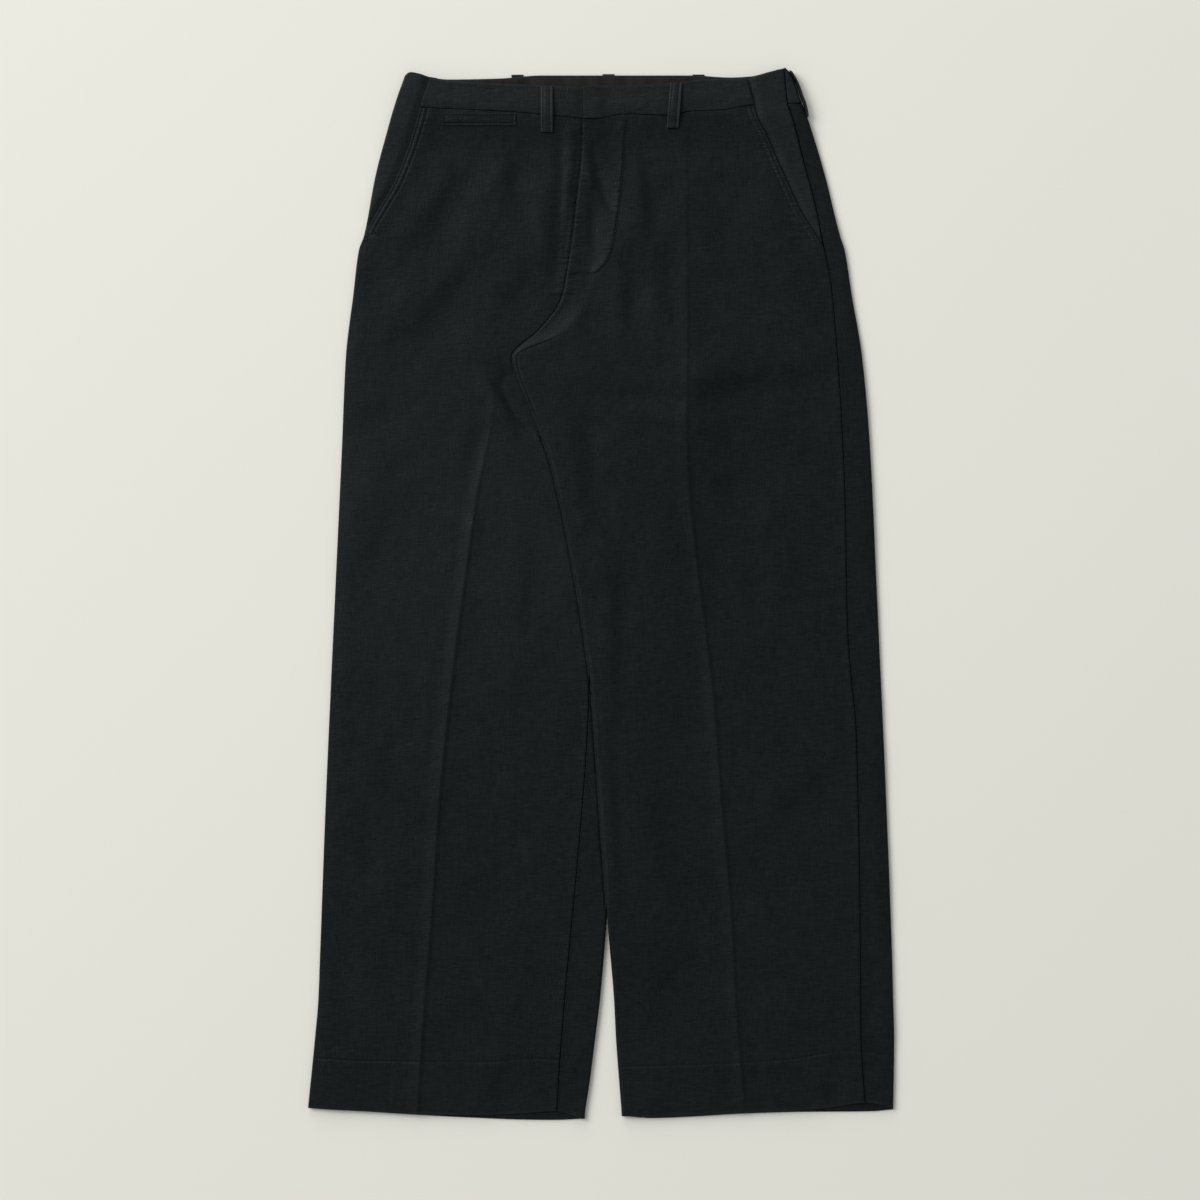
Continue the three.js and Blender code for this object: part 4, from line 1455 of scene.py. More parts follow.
@dataclass(frozen=True)
class Thread:
    """Dark polyester sewing thread with a low gloss."""

    name: str = "thread"
    deep: tuple[int, int, int] = (3, 5, 6)
    light: tuple[int, int, int] = (15, 19, 21)

    def make(self) -> bpy.types.Material:
        """Builds the material.

        Returns:
            The material.
        """
        shader = Shader(self.name)
        twist = shader.noise((900, 900, 900), detail=1.0)
        shader.connect(
            shader.surface.inputs["Base Color"], shader.blend(twist, linear(*self.deep), linear(*self.light))
        )
        shader.surface.inputs["Roughness"].default_value = 0.55
        shader.surface.inputs["Specular IOR Level"].default_value = 0.3
        shader.bump(twist, 0.0002, 0.6)
        return shader.material


class Cloths:
    """The finishes, made once."""

    def __init__(self) -> None:
        """Makes each material."""
        self.moleskin = Moleskin().make()
        # The bands' and loops' moleskin is a lighter copy of the legs' moleskin: painted light for the waist,
        # which the light from above makes brighter.
        self.band = Moleskin("moleskin_band", (12, 15, 16), (30, 35, 36)).make()
        self.drill = Drill().make()
        self.thread = Thread().make()


def dress(obj: bpy.types.Object, slot: str, material: bpy.types.Material, *nodes: str) -> bpy.types.Object:
    """Gives a finished piece its material and body, and hides the nodes that it stands for.

    Args:
        obj: The piece.
        slot: Not used.
        material: Its finish.
        *nodes: The nodes.

    Returns:
        The piece.
    """
    obj.data.materials.append(material)
    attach(obj, BODY)
    if nodes:
        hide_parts(*nodes)
    LOG.info("%s: %d points", obj.name, len(obj.data.vertices))
    return obj


@dataclass
class Legs:
    """The two fronts and the two backs."""

    cloths: Cloths
    step: float = 3.3
    hidden_step: float = 5
    hem_extra: float = 0.8
    crease_wear_and_highlight: float = 0.012
    mouth_wear: float = 0.12
    mouth_broad_wear: float = 0.04
    hem_wear: float = 0.2
    # A painted highlight along the left front's free edge.
    free_edge_highlight: float = 0.06
    # Painted light over the right front's thigh, centred at the y below and fading over the half width after
    # it.
    thigh_painted_light: float = 0.08
    thigh_light_y: float = 60
    thigh_light_half: float = 170
    top_y: float = 478
    bottom_y: float = -518
    back_seam_y: float = 490

    def rows(self, step: float) -> Array:
        """Rows from the waist seam to the hem, closer at the hem's stitches.

        Args:
            step: Distance between rows.

        Returns:
            The rows.
        """
        bends = (357.5, 355.5, 347.5, 346.5, 335.5, 334.5, 262, 240, 237.5, 236.5, 180, 462)
        stitches = (-464 + shift for shift in (-2.6, -1.5, -0.8, -0.3, 0, 0.3, 0.8, 1.5, 2.6))
        return shell_rows(self.top_y, self.bottom_y, step, (*bends, *stitches))

    def look(self, side: Side) -> Look:
        """A front: worn edges, a worn crease with a painted highlight on its lit side, painted light over the
        right thigh, a painted highlight along the left free edge, and puckers beside its stitches.

        Args:
            side: The wearer's side.

        Returns:
            The look.
        """

        def mouth(x: Array, y: Array, width: float) -> Array:
            """How near the pocket's edge is, above its end."""
            inward = LAY.inside_mouth(side, x, y)
            return near(inward, width) * smoothstep(y, LAY.mouth_end[side] - 14, LAY.mouth_end[side] + 10)

        def wear_and_painted_light(x: Array, y: Array) -> Array:
            """Worn and painted light places: the crease, worn, with a painted highlight on its lit side; the
            pocket's edge and the hem, worn; the right thigh, painted light; the left front's free edge, a
            painted highlight.

            Args:
                x: Places across.
                y: Places along.

            Returns:
                How worn, with the painted light added.
            """
            # The crease is worn along its line and painted lighter just on its -X side, the side that faces
            # the light: a painted highlight.
            crease = x - LAY.creases[side.value](y) + 0.8
            light = self.crease_wear_and_highlight * LAY.creases[side.value + "_height"](y) * near(crease, 1.5)
            light = light + self.mouth_wear * mouth(x, y, 1.2) + self.mouth_broad_wear * mouth(x, y, 7)
            light = light + self.hem_wear * near(LAY.hem_lower(side, x) - y, 1.6)
            if side is L:
                # A painted highlight along the left front's rolled free edge, which faces the light.
                light = light + self.free_edge_highlight * near(x - LAY.over(y), 1.6)
            else:
                # A broad painted light over the right front's thigh, the leg that the light from the left
                # falls on.
                light = light + self.thigh_painted_light * near(y - self.thigh_light_y, self.thigh_light_half)
            return light

        def pull_across(x: Array, y: Array) -> Array:
            """Puckers beside pocket, fly and seam.

            Args:
                x: Places across.
                y: Places along.

            Returns:
                How strong.
            """
            pull = 1.0 * mouth(x, y, 14)
            fly_side = np.where(y > 300, near(x - LAY.over(y) + (4 if side is R else 0), 10), 0)
            seam = LAY.outseam["x"](y) if side is L else LAY.inseam["x"](y)
            low = np.where(y < LAY.crotch_y, 1, 0)
            return 0.1 + pull + 0.8 * fly_side + 0.4 * low * near(x - seam, 6)

        def pull_along(x: Array, y: Array) -> Array:
            """Puckers beside the waist seam and the hem's stitches."""
            return 0.5 * near(LAY.waist["y"](x) - y, 12) + 0.5 * near(LAY.hem_stitch[side]["y"](x) - y, 8)

        return Look(wear_and_painted_light, pull_across, pull_along)

    def build(self) -> None:
        """Makes the four panels."""
        front_seams = frozenset({Edge.START, Edge.TOP})
        back_seams = frozenset({Edge.END, Edge.TOP})
        pieces = (
            ("front_right", front_right(), R, self.step, self.front_top, front_seams, 0.275),
            ("front_left", front_left(), L, self.step, self.front_top, front_seams, 0.302),
            ("back_right", back_right(), R, self.hidden_step, self.back_top, back_seams, 0.36),
            ("back_left", back_left(), L, self.hidden_step, self.back_top, back_seams, 0.33),
        )
        for name, section, side, step, top, seams, area in pieces:
            shell = Shell(
                name + "_cloth",
                section,
                self.rows(step),
                top=top,
                bottom=lambda x, z, side=side: LAY.hem(side, x, z),
                stitch_line=LAY.hem_stitch[side]["y"],
                seams=seams,
                missing=self.above_seat if name == "back_right" else None,
                hem_extra=self.hem_extra,
            )
            obj = shell.build()
            self.look(side).store(obj)
            dress(obj, "moleskin", self.cloths.moleskin, name)

    def front_top(self, x: Array, z: Array) -> Array:
        """The fronts end at the waist seam."""
        return LAY.waist["y"](x) - LAY.seam / 2

    def back_top(self, x: Array, z: Array) -> Array:
        """The backs end at the back waistband."""
        return self.back_seam_y - LAY.seam + 0 * x

    def above_seat(self, y: Array, column: Array) -> Array:
        """The right back has no fold above the seat."""
        return (y > LAY.back_fold_top_y) & (column > 24)


@dataclass
class Sides:
    """The pocket facings at the hips."""

    cloths: Cloths

    def build(self) -> None:
        """Makes both facings."""
        for side, section, last, top in (
            (R, side_right(), 354.5, lambda x, z: LAY.top_back["y"](x)),
            (L, side_left(), 348, lambda x, z: LAY.top_left["y"](x)),
        ):
            name = f"side_panel_{side.value}"
            seams = frozenset({Edge.START}) if side is L else frozenset()
            rows = shell_rows(516, last, 3)
            obj = Shell(name + "_cloth", section, rows, top=top, top_zone=508, seams=seams).build()
            self.look(side).store(obj)
            dress(obj, "moleskin", self.cloths.moleskin, name)

    def look(self, side: Side) -> Look:
        """Painted lighter all over, against the shade that their tucked-in level gets; worn lighter along the
        top edge, and puckered beside the seams.

        Args:
            side: The wearer's side.

        Returns:
            The look.
        """

        def top(x: Array, y: Array) -> Array:
            """Distance from the top edge."""
            return (LAY.top_back["y"](x) if side is R else LAY.top_left["y"](x)) - y

        def seam(x: Array, y: Array) -> Array:
            """Distance from the fold or the outseam."""
            return x - (LAY.edge(R, y) if side is R else LAY.outseam["x"](y))

        return Look(
            # The 0.14 all over is painted light; the rise along the top edge is wear.
            wear_and_painted_light=lambda x, y: 0.14 + 0.15 * near(top(x, y), 1.6),
            pull_across=lambda x, y: 0.45 * near(seam(x, y), 8),
            pull_along=lambda x, y: 0.5 * near(top(x, y) - 16, 12),
        )


@dataclass
class Waistband:
    """The front bands, the back band that comes round the left side, and the facing inside it."""

    cloths: Cloths
    level: float = 7.7
    thickness: float = 2.4
    back_level: float = 3.1
    back_thickness: float = 2.0
    back_seam_y: float = 490
    underlap_dip: float = 0.8
    tab_rise: float = 1.9

    def front(self, side: Side) -> Section:
        """A front band's section, between the pocket's edge and the fly.

        Args:
            side: The wearer's side.

        Returns:
            The section.
        """

        def flat(y: Array, t: Array) -> tuple[Array, Array]:
            """Across the band.

            Args:
                y: Places along.
                t: Shares of the way.

            Returns:
                The x and z.
            """
            over = LAY.over(y)
            if side is R:
                x = lerp(over + 9, LAY.mouth(R, y), t)
                z = self.level - self.underlap_dip * smoothstep(x - over, -10, 0)
            else:
                x = lerp(LAY.mouth(L, y), over, t)
                z = self.level + self.tab_rise * (1 - smoothstep(x - over, *LAY.lap_end))
            return x, z + self.puff(x, y)

        return Section((Strip(spaced(70, close_start=True, close_end=True), flat),))

    def puff(self, x: Array, y: Array) -> Array:
        """The band swells a little between its edge stitches.

        Args:
            x: Places across.
            y: Places along.

        Returns:
            The heights.
        """
        middle = (LAY.top_left["y"](x) + LAY.waist["y"](x)) / 2
        swell = 0.35 * near(y - middle, 9) - 0.75 * near(y - LAY.waist["y"](x), 4)
        return swell + 0.3 * lattice(0.5 * x, y, 8, 11) + 0.4 * lattice(x, 0.6 * y, 27, 12)

    def back(self) -> Section:
        """The back band's section, along the underside and round the left fold.

        Returns:
            The section.
        """
        high = LAY.top_level + LAY.front_rise
        extra = (self.back_thickness - LAY.cloth) / 2

        def rounded(y: Array, t: Array) -> tuple[Array, Array]:
            """Round the left fold."""
            return turn(LAY.edge(L, y) - extra, 1, self.back_level, high, t)

        def flat(y: Array, t: Array) -> tuple[Array, Array]:
            """Along the underside."""
            x = lerp(LAY.edge(R, y) + LAY.outseam_under, rounded(y, 0 * y)[0], t)
            return x, self.back_level + 0 * x

        def top(y: Array, t: Array) -> tuple[Array, Array]:
            """On top, from the fold to the outseam.

            Args:
                y: Places along.
                t: Shares of the way.

            Returns:
                The x and z.
            """
            end = rounded(y, np.ones_like(y))[0]
            x = lerp(end, np.minimum(LAY.outseam["x"](y) + LAY.seam, end - 1), t)
            return x, high + 0 * x

        return Section(
            (
                Strip(inner(spaced(90)), flat),
                Strip(inner(spaced(12)), rounded),
                Strip(spaced(5, close_end=True), top),
            )
        )

    def build(self) -> None:
        """Makes the bands and the facing."""
        for side, top in ((R, LAY.top_right), (L, LAY.top_left)):
            name = f"waistband_front_{side.value}"
            shell = Shell(
                name + "_cloth",
                self.front(side),
                shell_rows(510, 482, 1.8),
                top=lambda x, z, top=top: top["y"](x),
                bottom=lambda x, z: LAY.waist["y"](x) + LAY.seam / 2,
                top_zone=500,
                bottom_zone=490,
                thickness=self.thickness,
                edge_roll=0.7,
            )
            self.finish(shell, name, lambda x, y, top=top: top["y"](x), lambda x, y: LAY.waist["y"](x))
        shell = Shell(
            "waistband_back_cloth",
            self.back(),
            shell_rows(516, self.back_seam_y, 2.4),
            top=lambda x, z: LAY.top_back["y"](x),
            top_zone=508,
            thickness=self.back_thickness,
            edge_roll=1.0,
            seams=frozenset({Edge.BOTTOM}),
        )
        self.finish(shell, "waistband_back", lambda x, y: LAY.top_back["y"](x), lambda x, y: self.back_seam_y)
        self.facing()

    def finish(self, shell: Shell, node: str, top: Level, bottom: Level) -> None:
        """Builds and dresses a band, which is worn and puckered along its edges.

        Args:
            shell: The band's shell.
            node: Its node.
            top: Its top edge.
            bottom: Its lower edge.
        """
        obj = shell.build()
        Look(
            wear_and_painted_light=lambda x, y: 0.12 * near(top(x, y) - y, 1.6),
            pull_across=lambda x, y: 0.35 + 0 * x,
            pull_along=lambda x, y: 0.5 * near(y - bottom(x, y), 9) + 0.4 * near(top(x, y) - y, 6),
        ).store(obj)
        dress(obj, "moleskin_band", self.cloths.band, node)
        x, y, *_ = shell.surface()
        width = abs(x[0, 0] - x[0, -1]) * MM
        area = self.area(x, y)

    def area(self, x: Array, y: Array) -> float:
        """A band's flat area, from its length and its depth, in square metres."""
        length = np.hypot(np.diff(x[1]), np.diff(y[1])).sum()
        return float(length * np.abs(y[0] - y[-1]).mean()) * MM * MM

    def facing(self) -> None:
        """The brownish inside of the back band."""

        def flat(y: Array, t: Array) -> tuple[Array, Array]:
            """Across the facing, a little uneven."""
            x = lerp(134.0 + 0 * y, -161.0, t)
            return x, 4.9 + 0.12 * lattice(x, y, 12, 21) + 0.5 * lattice(x, 0.3 * y, 8, 22)

        shell = Shell(
            "waistband_facing_cloth",
            Section((Strip(spaced(90), flat),)),
            shell_rows(514, 492, 2.2),
            top=lambda x, z: LAY.top_back["y"](x) - 2.5,
            top_zone=507,
            thickness=0.9,
        )
        obj = shell.build()
        Look().store(obj)
        dress(obj, "brown_facing", self.cloths.drill, "waistband_facing")


@dataclass
class FrontDetails:
    """The doubled fly front and the coin pocket's welt."""

    cloths: Cloths
    fly_raise: float = 0.9
    fly_past: float = 0.9
    fly_rows: tuple[float, float] = (473.2, 319.2)
    welt_x: tuple[float, float] = (-84.8, -158.2)
    welt_y: tuple[float, float] = (480, 467.6)

    def build(self) -> None:
        """Makes both pieces."""
        self.fly()
        self.welt()

    def fly(self) -> None:
        """The fly front: a doubled layer that ends at its J-shaped stitching."""

        def height(x: Array, y: Array) -> Array:
            """Height of the fly front on the left front.

            Args:
                x: Places across.
                y: Places along.

            Returns:
                The heights.
            """
            inside = np.minimum(LAY.fly["x"](y) + self.fly_past - x, y - self.fly_rows[1])
            swell = self.fly_raise * smoothstep(inside, 0.3, 3)
            return LAY.front_level(L, x, y) + LAY.cloth / 2 + 0.12 + swell - 0.25 * near(inside - 1.4, 0.6)

        def border(y: Array, t: Array) -> tuple[Array, Array]:
            """The strip at the J."""
            x = LAY.fly["x"](y) + self.fly_past - 6 * t
            return x, height(x, y)

        def flat(y: Array, t: Array) -> tuple[Array, Array]:
            """From that strip to the free edge."""
            x = lerp(LAY.fly["x"](y) + self.fly_past - 6, LAY.over(y) + 0.3, t)
            return x, height(x, y)

        shell = Shell(
            "fly_placket_cloth",
            Section(
                (Strip(inner(spaced(9, close_start=True)), border), Strip(spaced(22, close_end=True), flat))
            ),
            shell_rows(*self.fly_rows, 2.2, (322.6, 321.6, 320.8)),
            thickness=0.4,
            edge_roll=0.5,
            seams=frozenset({Edge.START, Edge.BOTTOM, Edge.TOP}),
        )
        obj = shell.build()
        Look(
            # The fly front's free edge is painted lighter: a painted highlight on the rolled edge that faces
            # the light.
            wear_and_painted_light=lambda x, y: 0.08 * near(x - LAY.over(y), 1.6),
            pull_across=lambda x, y: np.maximum(
                near(x - LAY.fly["x"](y), 9), 0.9 * near(x - LAY.over(y), 10)
            ),
            pull_along=lambda x, y: (
                0.7 * near(self.fly_rows[0] - y, 10) + 0.5 * near(y - self.fly_rows[1], 8)
            ),
        ).store(obj)
        dress(obj, "moleskin", self.cloths.moleskin, "fly_placket")

    def welt(self) -> None:
        """The coin pocket's welt, a narrow doubled strip."""

        def flat(y: Array, t: Array) -> tuple[Array, Array]:
            """Across the welt, sunk inside its border.

            Args:
                y: Places along.
                t: Shares of the way.

            Returns:
                The x and z.
            """
            x = lerp(self.welt_x[0] + 0 * y, self.welt_x[1], t)
            ends = np.minimum(self.welt_x[0] - x, x - self.welt_x[1])
            inset = np.minimum(np.minimum(self.welt_y[0] - y, y - self.welt_y[1]), ends)
            lower = np.minimum(y - self.welt_y[1], ends)
            sunk = 0.5 * smoothstep(inset, 1.2, 2.0) + 0.4 * near(inset - 1.9, 0.7)
            sunk = sunk + 0.8 * near(lower - 2.2, 0.8)
            ribs = 0.22 * lattice(0.1 * x, y, 1.9, 32) * smoothstep(inset, 1, 3)
            relief = 0.95 - sunk + ribs + 0.15 * lattice(x, y, 7, 31)
            return x, LAY.front_level(R, x, y) + LAY.cloth / 2 + relief

        shell = Shell(
            "coin_pocket_welt_cloth",
            Section((Strip(spaced(44, close_start=True, close_end=True), flat),)),
            shell_rows(*self.welt_y, 0.8),
            thickness=0.9,
            edge_roll=0.6,
        )
        obj = shell.build()
        Look(
            wear_and_painted_light=lambda x, y: 0.25 * near(np.minimum(y - self.welt_y[1], self.welt_y[0] - y), 1),
            pull_across=lambda x, y: 0.6 + 0 * x,
        ).store(obj)
        dress(obj, "moleskin", self.cloths.moleskin, "coin_pocket_welt")


@dataclass(frozen=True)
class Loop:
    """A belt loop: a folded strip with stitched edges and both ends turned in."""

    node: str
    x: float
    top: float
    lean: float = 0
    side: Side = R


@dataclass
class BeltLoops:
    """The seven belt loops."""

    cloths: Cloths
    width: float = 12
    length: float = 46
    thickness: float = 1.2
    bow: float = 2.7
    row: float = 3.4
    band_top: float = 8.9
    under: float = 0.6
    under_rise: float = 0.24
    side_gap: float = 3.1
    side_radius: float = 4.4
    side_reach: float = 78
    front: tuple[Loop, ...] = (
        Loop("belt_loop_front_right", -54, 506.6),
        Loop("belt_loop_front_left", 75, 510.6, -0.08, L),
    )
    back: tuple[Loop, ...] = (
        Loop("belt_loop_side_right", -165, 515),
        Loop("belt_loop_back_right", -83.5, 519.6),
        Loop("belt_loop_back_middle", 7.5, 520.2),
        Loop("belt_loop_back_left", 97.5, 519.8),
    )

    def seat(self, loop: Loop, y: Array) -> Array:
        """Height of what a front loop lies on: the band, and the panel below it.

        Args:
            loop: The loop.
            y: Places along.

        Returns:
            The heights.
        """
        x = loop.x + 0 * y
        panel = LAY.front_level(loop.side, x, y) + LAY.cloth / 2
        waist = LAY.waist["y"](loop.x)
        return lerp(panel, self.band_top, smoothstep(y, waist - 9, waist - 1))

    def front_level(self, loop: Loop, x: Array, y: Array) -> Array:
        """Middle of a front loop's cloth: bowed between its ends, with thicker stitched ends.

        Args:
            loop: The loop.
            x: Places across.
            y: Places along.

        Returns:
            The heights.
        """
        share = np.clip((loop.top - y) / self.length, 0, 1)
        bow = self.bow * np.sin(np.pi * share)
        ends = 0.5 * (near(share * self.length, 4) + near((1 - share) * self.length, 4))
        centre = loop.x + loop.lean * (loop.top - y)
        away = np.abs(x - centre)
        half = self.width / 2
        sunk = 0.65 * near(away - self.row, 0.8) + 0.3 * smoothstep(away, half - 1.2, half)
        return self.seat(loop, y) + LAY.seam + self.thickness / 2 + bow + ends - sunk

    def build(self) -> None:
        """Makes all seven."""
        for loop in self.front:
            self.make(loop, lambda x, y, loop=loop: self.front_level(loop, x, y))
        for loop in self.back:
            self.make(loop, self.under_level)
        self.side_loop()

    def under_level(self, x: Array, y: Array) -> Array:
        """Middle of a loop that is pressed flat under the back."""
        return self.under + self.under_rise * smoothstep(y, 470, 488) + 0 * x

    def make(self, loop: Loop, level: Level) -> None:
        """One loop as a strip across its width.

        Args:
            loop: The loop.
            level: Height of its middle.
        """
        half = self.width / 2

        def flat(y: Array, t: Array) -> tuple[Array, Array]:
            """Across the loop."""
            x = loop.x + loop.lean * (loop.top - y) + lerp(half, -half, t)
            return x, level(x, y)

        shell = Shell(
            loop.node + "_cloth",
            Section((Strip(spaced(18, close_start=True, close_end=True), flat),)),
            shell_rows(loop.top, loop.top - self.length, 1.3),
            thickness=self.thickness,
            edge_roll=0.8,
            seams=frozenset({Edge.TOP, Edge.BOTTOM}),
        )
        obj = shell.build()

        def wear_and_painted_light(x: Array, y: Array) -> Array:
            """Worn along its edges."""
            centre = loop.x + loop.lean * (loop.top - y)
            return 0.6 * near(half - 0.7 - np.abs(x - centre), 1.0)

        Look(wear_and_painted_light, pull_across=lambda x, y: 0.5 + 0 * x).store(obj)
        dress(obj, "moleskin_band", self.cloths.band, loop.node)

    def side_loop(self) -> None:
        """The loop at the left side, which wraps round the fold and stands off it."""
        outline = curves(
            "y x",
            (522.5, 190.5), (518, 193.5), (510, 197.8), (503, 200.4), (497, 202.4), (491, 204.8),
            (483, 206.6), (477, 207.6),
        )
        centre = (LAY.top_level + LAY.front_rise + self.side_gap) / 2
        radius = self.side_radius

        def wrapped(y: Array, t: Array) -> tuple[Array, Array]:
            """Round the fold.

            Args:
                y: Places along.
                t: Shares of the way.

            Returns:
                The x and z.
            """
            angle = np.radians(lerp(-self.side_reach, self.side_reach, t))
            x = outline["x"](y) - self.thickness / 2 - radius * (1 - np.cos(angle)) * 0.75
            return x, centre + radius * np.sin(angle)

        shell = Shell(
            "belt_loop_side_left_cloth",
            Section((Strip(spaced(12, close_start=True, close_end=True), wrapped),)),
            shell_rows(522.5, 477, 1.5),
            thickness=self.thickness,
        )
        obj = shell.build()
        Look(wear_and_painted_light=lambda x, y: 0.2 * near(outline["x"](y) - x, 1)).store(obj)
        dress(obj, "moleskin_band", self.cloths.band, "belt_loop_side_left")


@dataclass
class Stitching:
    """Real stitches: short rounded threads laid along the seams."""

    cloths: Cloths
    pitch: float = 3.3
    stitch: float = 2.5
    thread: float = 0.62

    def line(self, bm: bmesh.types.BMesh, points: Array) -> None:
        """Lays stitches along a line of points.

        Args:
            bm: The mesh to add to.
            points: The line's points.
        """
        steps = np.linalg.norm(np.diff(points, axis=0), axis=1)
        along = np.concatenate([[0], np.cumsum(steps)])
        count = max(1, int(along[-1] / self.pitch))
        for start in (np.arange(count) + 0.15) * along[-1] / count:
            ends = [
                Vector([np.interp(s, along, points[:, k]) for k in range(3)])
                for s in (start, start + self.stitch)
            ]
            run = ends[1] - ends[0]
            if run.length < 0.5:
                continue
            turned = run.to_track_quat("X", "Z").to_matrix().to_4x4()
            size = Matrix.Diagonal((run.length / 2, self.thread / 2, self.thread / 2.6, 1))
            place = Matrix.Translation((ends[0] + ends[1]) / 2)
            scale = Matrix.Scale(MM, 4)
            bmesh.ops.create_uvsphere(
                bm, u_segments=6, v_segments=4, radius=1, matrix=scale @ place @ turned @ size
            )

    def along_y(self, x: Callable[[Array], Array], top: float, bottom: float, level: Level) -> Array:
        """Points of a line that runs down the front."""
        y = np.linspace(top, bottom, max(2, int(abs(top - bottom) / 1.5)))
        return np.stack([x(y), y, level(x(y), y)], axis=1)

    def along_x(self, y: Callable[[Array], Array], start: float, end: float, level: Level) -> Array:
        """Points of a line that runs across the front."""
        x = np.linspace(start, end, max(2, int(abs(start - end) / 1.5)))
        return np.stack([x, y(x), level(x, y(x))], axis=1)

    def on_front(self, side: Side) -> Level:
        """Height of a front's face, where a thread lies half sunk."""
        return lambda x, y: LAY.front_level(side, x, y) + LAY.cloth / 2 + 0.12

    def sew(self, name: str, slot: str, lines: Sequence[Array]) -> None:
        """Makes one piece of all the lines on a seam.

        Args:
            name: Its name.
            slot: Its slot.
            lines: Its lines.
        """
        bm = bmesh.new()
        for points in lines:
            self.line(bm, points)
        mesh = bpy.data.meshes.new(name)
        bm.to_mesh(mesh)
        bm.free()
        mesh.polygons.foreach_set("use_smooth", [True] * len(mesh.polygons))
        obj = bpy.data.objects.new(name, mesh)
        bpy.context.scene.collection.objects.link(obj)
        dress(obj, slot, self.cloths.thread)

    def build(self, band: Waistband, loops: BeltLoops, details: FrontDetails) -> None:
        """Sews pockets, fly, waistband, loops, coin pocket and hems.

        Args:
            band: The waistband.
            loops: The belt loops.
            details: The fly front and the welt.
        """
        right, left = self.on_front(R), self.on_front(L)
        pockets = []
        for d in LAY.mouth_rows:
            pockets.append(self.along_y(lambda y, d=d: LAY.mouth(R, y) + d, 482, 364, right))
            pockets.append(self.along_y(lambda y, d=d: LAY.mouth(L, y) - d, 484, 354, left))
        for shift in (-0.6, 0, 0.6):
            pockets.append(self.along_x(lambda x, s=shift: 472.8 + s + 0 * x, -181, -175.6, right))
            pockets.append(self.along_x(lambda x, s=shift: 474.6 + s + 0 * x, 148, 155.6, left))
        self.sew("pocket_stitches", "moleskin", pockets)
        self.sew("fly_stitches", "moleskin", self.fly_lines(left, details))
        self.sew("hem_stitches", "moleskin", self.hem_lines(right, left))
        self.sew("waistband_stitches", "moleskin_band", self.band_lines(band))
        self.sew("belt_loop_stitches", "moleskin_band", self.loop_lines(loops))
        self.sew("coin_pocket_stitches", "moleskin", self.welt_lines(right, details))

    def fly_lines(self, left: Level, details: FrontDetails) -> list[Array]:
        """The J, the tack across its end and the line along the rise.

        Args:
            left: Height of a thread on the left front.
            details: Not used.

        Returns:
            The lines.
        """

        def level(x: Array, y: Array) -> Array:
            """Height of a thread on the fly front."""
            return left(x, y) + 0.15

        y = np.concatenate([np.linspace(472, 330, 90), np.linspace(329, 321, 10)])
        curve = np.stack([LAY.fly["x"](y), y, level(LAY.fly["x"](y), y)], axis=1)
        tail = self.along_x(lambda x: 320.4 - 0.08 * (x + 6), -6, -31, level)
        tack = self.along_x(lambda x: 324.2 - 0.05 * x, -2, -30, level)
        rise = self.along_y(lambda y: LAY.over(y) + 2.2, 318, 250, left)
        return [curve, tail, tack, rise]

    def hem_lines(self, right: Level, left: Level) -> list[Array]:
        """The lines that hold the turned-up hems.

        Args:
            right: Height of a thread on the right front.
            left: Height of a thread on the left front.

        Returns:
            The lines.
        """
        return [
            self.along_x(LAY.hem_stitch[R]["y"], -286, -46, right),
            self.along_x(LAY.hem_stitch[L]["y"], 24, 258, left),
            self.along_x(LAY.hem_stitch[L]["y"], 264, 288, left),
        ]

    def band_lines(self, band: Waistband) -> list[Array]:
        """Edge stitching of the front bands.

        Args:
            band: The waistband.

        Returns:
            The lines.
        """
        face = band.level + band.thickness / 2 + 0.05

        def right(x: Array, y: Array) -> Array:
            """Height of a thread on the right band."""
            return face + band.puff(x, y)

        def left(x: Array, y: Array) -> Array:
            """Height of a thread on the left band."""
            return right(x, y) + band.tab_rise * (1 - smoothstep(x - LAY.over(y), *LAY.lap_end))

        return [
            self.along_x(lambda x: LAY.top_right["y"](x) - 2.6, -168, -21, right),
            self.along_x(lambda x: LAY.waist["y"](x) + 2.4, -178, -20, right),
            self.along_x(lambda x: LAY.top_left["y"](x) - 2.6, -15, 144, left),
            self.along_x(lambda x: LAY.waist["y"](x) + 2.4, -15, 150, left),
            self.along_y(lambda y: LAY.over(y) + 2.4, 503, 478, left),
            *(self.along_y(lambda y, d=d: LAY.mouth(R, y) + d, 510, 486, right) for d in LAY.mouth_rows),
            *(self.along_y(lambda y, d=d: LAY.mouth(L, y) - d, 512, 491, left) for d in LAY.mouth_rows),
        ]

    def loop_lines(self, loops: BeltLoops) -> list[Array]:
        """Edge stitching and end tacks of the front loops.

        Args:
            loops: The belt loops.

        Returns:
            The lines.
        """
        lines = []
        for loop in loops.front:
            top, bottom = loop.top - 1.5, loop.top - loops.length + 1.5

            def level(x: Array, y: Array, loop: Loop = loop) -> Array:
                """Height of a thread on the loop."""
                return loops.front_level(loop, x, y) + loops.thickness / 2 + 0.08

            for row in (-loops.row, loops.row):
                lines.append(
                    self.along_y(lambda y, s=row, l=loop: l.x + l.lean * (l.top - y) + s, top, bottom, level)
                )
            for y in (top - 1.5, bottom + 1.5):
                centre = loop.x + loop.lean * (loop.top - y)
                lines.append(self.along_x(lambda x, y=y: y + 0 * x, centre - 4, centre + 4, level))
        return lines

    def welt_lines(self, right: Level, details: FrontDetails) -> list[Array]:
        """The stitches round the coin pocket's welt.

        Args:
            right: Height of a thread on the right front.
            details: The fly front and the welt.

        Returns:
            The lines.
        """

        def level(x: Array, y: Array) -> Array:
            """Height of a thread on the welt."""
            return right(x, y) + 1.2

